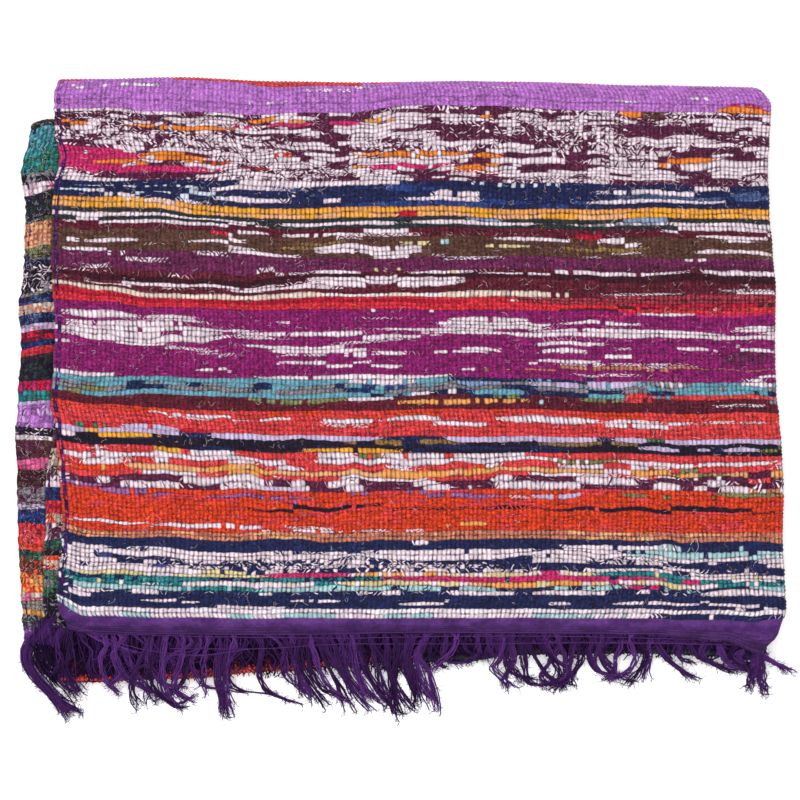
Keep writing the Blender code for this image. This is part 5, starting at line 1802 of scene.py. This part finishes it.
# photo_y to which the mass of yarn below the locks reaches, by photo_x
MASS = (
    (20, 684), (60, 684), (100, 682), (150, 682), (190, 680), (240, 676), (290, 675), (330, 674),
    (400, 672), (430, 670), (450, 663), (480, 659), (500, 657), (520, 655), (560, 656), (585, 658),
    (605, 655), (640, 656), (665, 658), (680, 652), (700, 654), (720, 662), (745, 668), (770, 666),
    (790, 660),
)


def mass_end(x):
    """The y to which the mass of yarn reaches at x."""
    return from_photo_y(np.interp(photo_x(x), *zip(*MASS)))


def top_fringe(material):
    """The fringe on top: three layers of yarns by chance, and the locks over them."""
    rng = np.random.default_rng(SEED + 20)
    tubes = Tubes(4)
    fuzz = Tubes(3)
    yarn = colour_of("yarn")
    dark = colour_of("shade")
    lock_paths(tubes, fuzz, rng, [yarn * share for share in (0.4, 0.6, 0.85, 1.15)])
    # Painted shade: the lower layers take more of the shade colour and less of the yarn's, as they lie
    # under the upper ones
    for layer, bright in ((-1.2, 0.0), (0.2, 0.45), (1.6, 0.9)):
        for x in np.arange(-270.0, 290.0, ROOT_GAP * (1.0 + 0.9 * bright)):
            root = root_point(x + rng.uniform(-0.8, 0.8), 2 if bright < 0.3 else 0)
            shorter = rng.uniform(-3, 5) + rng.exponential(7.0) * bright
            length = root[1] - float(mass_end(x)) - shorter
            tone = (dark * (1 - bright) + yarn * bright) * rng.uniform(0.2, 0.85)
            drift = rng.uniform(-14, 14) * (0.6 + bright)
            wandering(root, max(length, 9), drift, rng, tubes, tone, layer, 0.6 - 0.14 * bright)
    return tubes.build("fringe_top_yarns", material), fuzz.build("fringe_top_fuzz", material)


def under_fringe(material):
    """The fringe of the end under the top one, from both leaves, and its locks at the corner."""
    rng = np.random.default_rng(SEED + 21)
    tubes = Tubes(4)
    fuzz = Tubes(3)
    for leaf, first in ((0, -306.0), (2, -296.0)):
        for x in np.arange(first, 292.0, ROOT_GAP * 1.1):
            root = root_point(x + rng.uniform(-0.8, 0.8), leaf, True)
            length = root[1] - float(mass_end(x)) - rng.uniform(-2, 5)
            # Painted shade: these yarns lie under the top fringe and take the shade colour
            tone = colour_of("shade") * rng.uniform(0.3, 0.9)
            layer = rng.uniform(-2.2, -0.8)
            drift = rng.uniform(-10, 10) + max(-274.0 - x, 0) * rng.uniform(0.2, 1.0)
            wandering(root, max(length, 8), drift, rng, tubes, tone, layer, 0.62, 12)
    corner_locks(tubes, fuzz, rng)
    return tubes.build("fringe_under_yarns", material), fuzz.build("fringe_under_fuzz", material)


def corner_locks(tubes, fuzz, rng):
    """The thick locks at the lower left, of the selvedge warps of the end under the top one."""
    for yarns, wide, hangs in CORNER_LOCKS:
        bends = np.array([(from_photo_x(x), from_photo_y(y), high) for x, y, high in hangs])
        spread = np.linspace(0.7, 1.2, len(bends))
        for _ in range(yarns):
            own = bends.copy()
            own[:, 0] += rng.normal(0, wide * 0.62) * spread
            own[:, 1] += rng.normal(0, wide * 0.5) * spread
            path = curve_through(own, CORNER_POINTS)
            path[:, 2] = np.maximum(path[:, 2] + rng.uniform(-1.2, 1.8), 0.7)
            path[:, :2] += np.cumsum(rng.normal(0, 0.26, (CORNER_POINTS, 2)), axis=0)
            cut = CORNER_POINTS - int(rng.integers(0, 6))
            tone = colour_of("yarn") * rng.uniform(0.3, 1.05)
            thick = YARN_RADIUS * np.linspace(1.2, 0.8, CORNER_POINTS)
            tubes.add(path[:cut], thick[:cut], tone)
            fray(fuzz, path[:cut], rng, tone, 10, 5)


# ---- Loose threads --------------------------------------------------------------------------------

# Loose weft along the top fringe: (photo_x, photo_y) bends
LOOSE_WEFT = (
    ((80, 630), (160, 633), (300, 634), (420, 632), (560, 633), (700, 634), (760, 637)),
    ((90, 633), (200, 636), (330, 637), (450, 635), (600, 636), (745, 640)),
    ((170, 648), (262, 648), (330, 644), (430, 643), (520, 643), (610, 643), (740, 645)),
    ((88, 630), (112, 640), (150, 650), (200, 655), (250, 648)),
    ((150, 640), (168, 655), (200, 648), (215, 638)),
)
# Long loose threads on the rags: yarn, bends
LOOSE_LONG = (
    ("ochre", ((652, 248), (660, 240), (668, 246), (664, 262), (655, 276), (648, 288), (656, 296))),
    ("ochre", ((690, 238), (702, 246), (722, 250), (738, 256), (742, 262), (738, 262))),
    ("ochre", ((668, 228), (676, 222), (684, 218))),
    ("gold", ((92, 208), (104, 214), (118, 216), (128, 212))),
    ("bright", ((430, 172), (446, 166), (462, 170), (470, 176), (480, 176))),
    ("bright", ((690, 545), (696, 538), (698, 548), (692, 556))),
)
HAIRS = 2000
HAIR_STEPS = 9
HAIR_YARNS = {"white": 0.35, "bright": 0.3, "lilac": 0.15, "cream": 0.1, "gold": 0.04, "navy": 0.06}
STRIP_HAIRY = (140, 200, 240, 275, 455, 500, 540, 580)  # photo_y, on the strip at the left
# photo_y from and to, where more hairs stand on the top level
HAIRY = ((174, 204), (176, 232), (108, 150), (226, 300), (315, 375), (180, 215), (430, 455), (560, 616))


def top_height(x, y):
    """The height of the top level's upper face."""
    return lifted(x, y, LEVEL_Z[3] + LEAF_APART / 2 + CLOTH_THICK / 2)


def hair(tubes, rng, index):
    """A short hair on the rags. Every other one lies in a hairy band, and every fifth one on the
    strip at the left."""
    x = rng.uniform(-280, 300)
    y = rng.uniform(-172, 250)
    if index % 2:
        x = rng.uniform(-280, -60) if index % 4 == 1 else rng.uniform(80, 300)
        y = from_photo_y(rng.uniform(*HAIRY[int(rng.integers(len(HAIRY)))]))
    length = rng.uniform(2.0, 9.0)
    way = rng.uniform(0, 2 * math.pi) + rng.uniform(-1, 1)
    way = way + (rng.normal(0, 0.75, HAIR_STEPS) + rng.normal(0, 0.3)).cumsum()
    steps = np.stack([np.cos(way), np.sin(way)], axis=1) * length / HAIR_STEPS
    xy = np.array([x, y]) + steps.cumsum(axis=0)
    lift = 0.35 + rng.uniform(0.1, 1.0) * np.sin(np.linspace(0, math.pi, HAIR_STEPS))
    z = top_height(*xy.T) + lift
    if index % 5 == 0:
        xy[:, 0] += rng.uniform(-314, -290) - xy[0, 0]
        xy[:, 1] += from_photo_y(rng.choice(STRIP_HAIRY) + rng.normal(0, 26)) - xy[0, 1]
        z = lifted(*xy.T, LEVEL_Z[2] - LEAF_APART / 2 + CLOTH_THICK / 2) + 1.2 * lift
    name = list(HAIR_YARNS)[int(rng.choice(len(HAIR_YARNS), p=list(HAIR_YARNS.values())))]
    tubes.add(np.column_stack([xy, z]), rng.uniform(0.07, 0.14), colour_of(name))


def loose_threads(material):
    rng = np.random.default_rng(SEED + 30)
    tubes = Tubes(3)
    for bends in LOOSE_WEFT:
        xy = curve_through(from_photo(bends), 70)
        xy[:, 1] += np.cumsum(rng.normal(0, 0.08, 70))
        z = np.maximum(support(*xy.T) + 3.6, 26.0)
        tubes.add(np.column_stack([xy, z]), 0.42, colour_of("yarn") * rng.uniform(0.9, 1.3))
    for name, bends in LOOSE_LONG:
        xy = curve_through(from_photo(bends), 40)
        z = top_height(*xy.T) + 0.7 + 0.5 * np.sin(np.linspace(0, 9, 40))
        tubes.add(np.column_stack([xy, z]), 0.17, colour_of(name))
    for index in range(HAIRS):
        hair(tubes, rng, index)
    return tubes.build("loose_threads", material)


# ---- Putting it together --------------------------------------------------------------------------

WHITE = (1.0, 1.0, 1.0, 1.0)
FLOOR_REACH = 3.0  # metres, from the rug to each side of the floor
PHOTO_SIDE = 800  # pixels
CAMERA_HIGH = 4.0  # metres over the floor
TOP_HIGH = 0.031  # metres, of the top level
SENSOR = 36.0


def area_light(name, place, size, power):
    """A soft square light that is turned to the rug."""
    light = bpy.data.lights.new(name, "AREA")
    light.shape = "SQUARE"
    light.size = size
    light.energy = power
    light.spread = math.pi
    made = linked(name, light)
    made.location = place
    made.rotation_euler = (-made.location.normalized()).to_track_quat("-Z", "Y").to_euler()


def stage():
    """A white floor that glows a little, as a light table does, under soft light."""
    mesh = bpy.data.meshes.new("floor")
    corners = [(x * FLOOR_REACH, y * FLOOR_REACH, 0) for x, y in ((-1, -1), (1, -1), (1, 1), (-1, 1))]
    mesh.from_pydata(corners, [], [(0, 1, 2, 3)])
    paint = bpy.data.materials.new("floor")
    paint.use_nodes = True
    shader = paint.node_tree.nodes["Principled BSDF"].inputs
    shader["Base Color"].default_value = (0.94, 0.94, 0.94, 1.0)
    shader["Roughness"].default_value = 0.9
    shader["Emission Color"].default_value = WHITE
    shader["Emission Strength"].default_value = 0.28
    mesh.materials.append(paint)
    linked("floor", mesh)
    world = bpy.data.worlds.new("studio")
    bpy.context.scene.world = world
    world.use_nodes = True
    background = world.node_tree.nodes["Background"].inputs
    background["Color"].default_value = WHITE
    background["Strength"].default_value = 0.86
    area_light("key", (-0.5, 0.7, 2.4), 2.0, 33.0)
    area_light("fill", (0.5, -0.4, 2.6), 2.4, 12.0)


def camera():
    """Straight over the rug, with a long lens, framed like the photograph."""
    lens = bpy.data.cameras.new("camera")
    lens.sensor_width = SENSOR
    lens.lens = SENSOR * (CAMERA_HIGH - TOP_HIGH) / (PHOTO_SIDE * PHOTO_MM * MM)
    lens.clip_end = 50
    made = linked("camera", lens)
    middle = PHOTO_SIDE / 2
    made.location = (
        from_photo_x(middle) * MM - MIDDLE_X * MM,
        (from_photo_y(middle) - MIDDLE_Y) * MM,
        CAMERA_HIGH,
    )
    bpy.context.scene.camera = made


def main():
    rags = rag_material()
    heading = heading_material()
    yarn = yarn_material()
    top = cloth_object("rug_top", slice(0, SEAM_LINE + 1), fill_top)
    under = cloth_object("rug_under", slice(SEAM_LINE, LINES), fill_under)
    for piece in (top, under):
        piece.data.materials.append(rags)
        piece.data.materials.append(heading)
        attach(piece, "root")
        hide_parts("rug_cloth")
    fringe_top, fuzz_top = top_fringe(yarn)
    fringe_under, fuzz_under = under_fringe(yarn)
    threads = loose_threads(yarn)
    for piece in (fringe_top, fuzz_top):
        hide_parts("fringe_top")
    for piece in (fringe_under, fuzz_under):
        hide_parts("fringe_under")
    for piece in (fringe_top, fuzz_top, fringe_under, fuzz_under, threads):
        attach(piece, "root")
    top_length = LINE_S[SEAM_LINE] * MM
    PATH_LENGTH * MM - top_length
    stage()
    camera()
    bpy.context.scene.view_settings.view_transform = "Standard"


main()
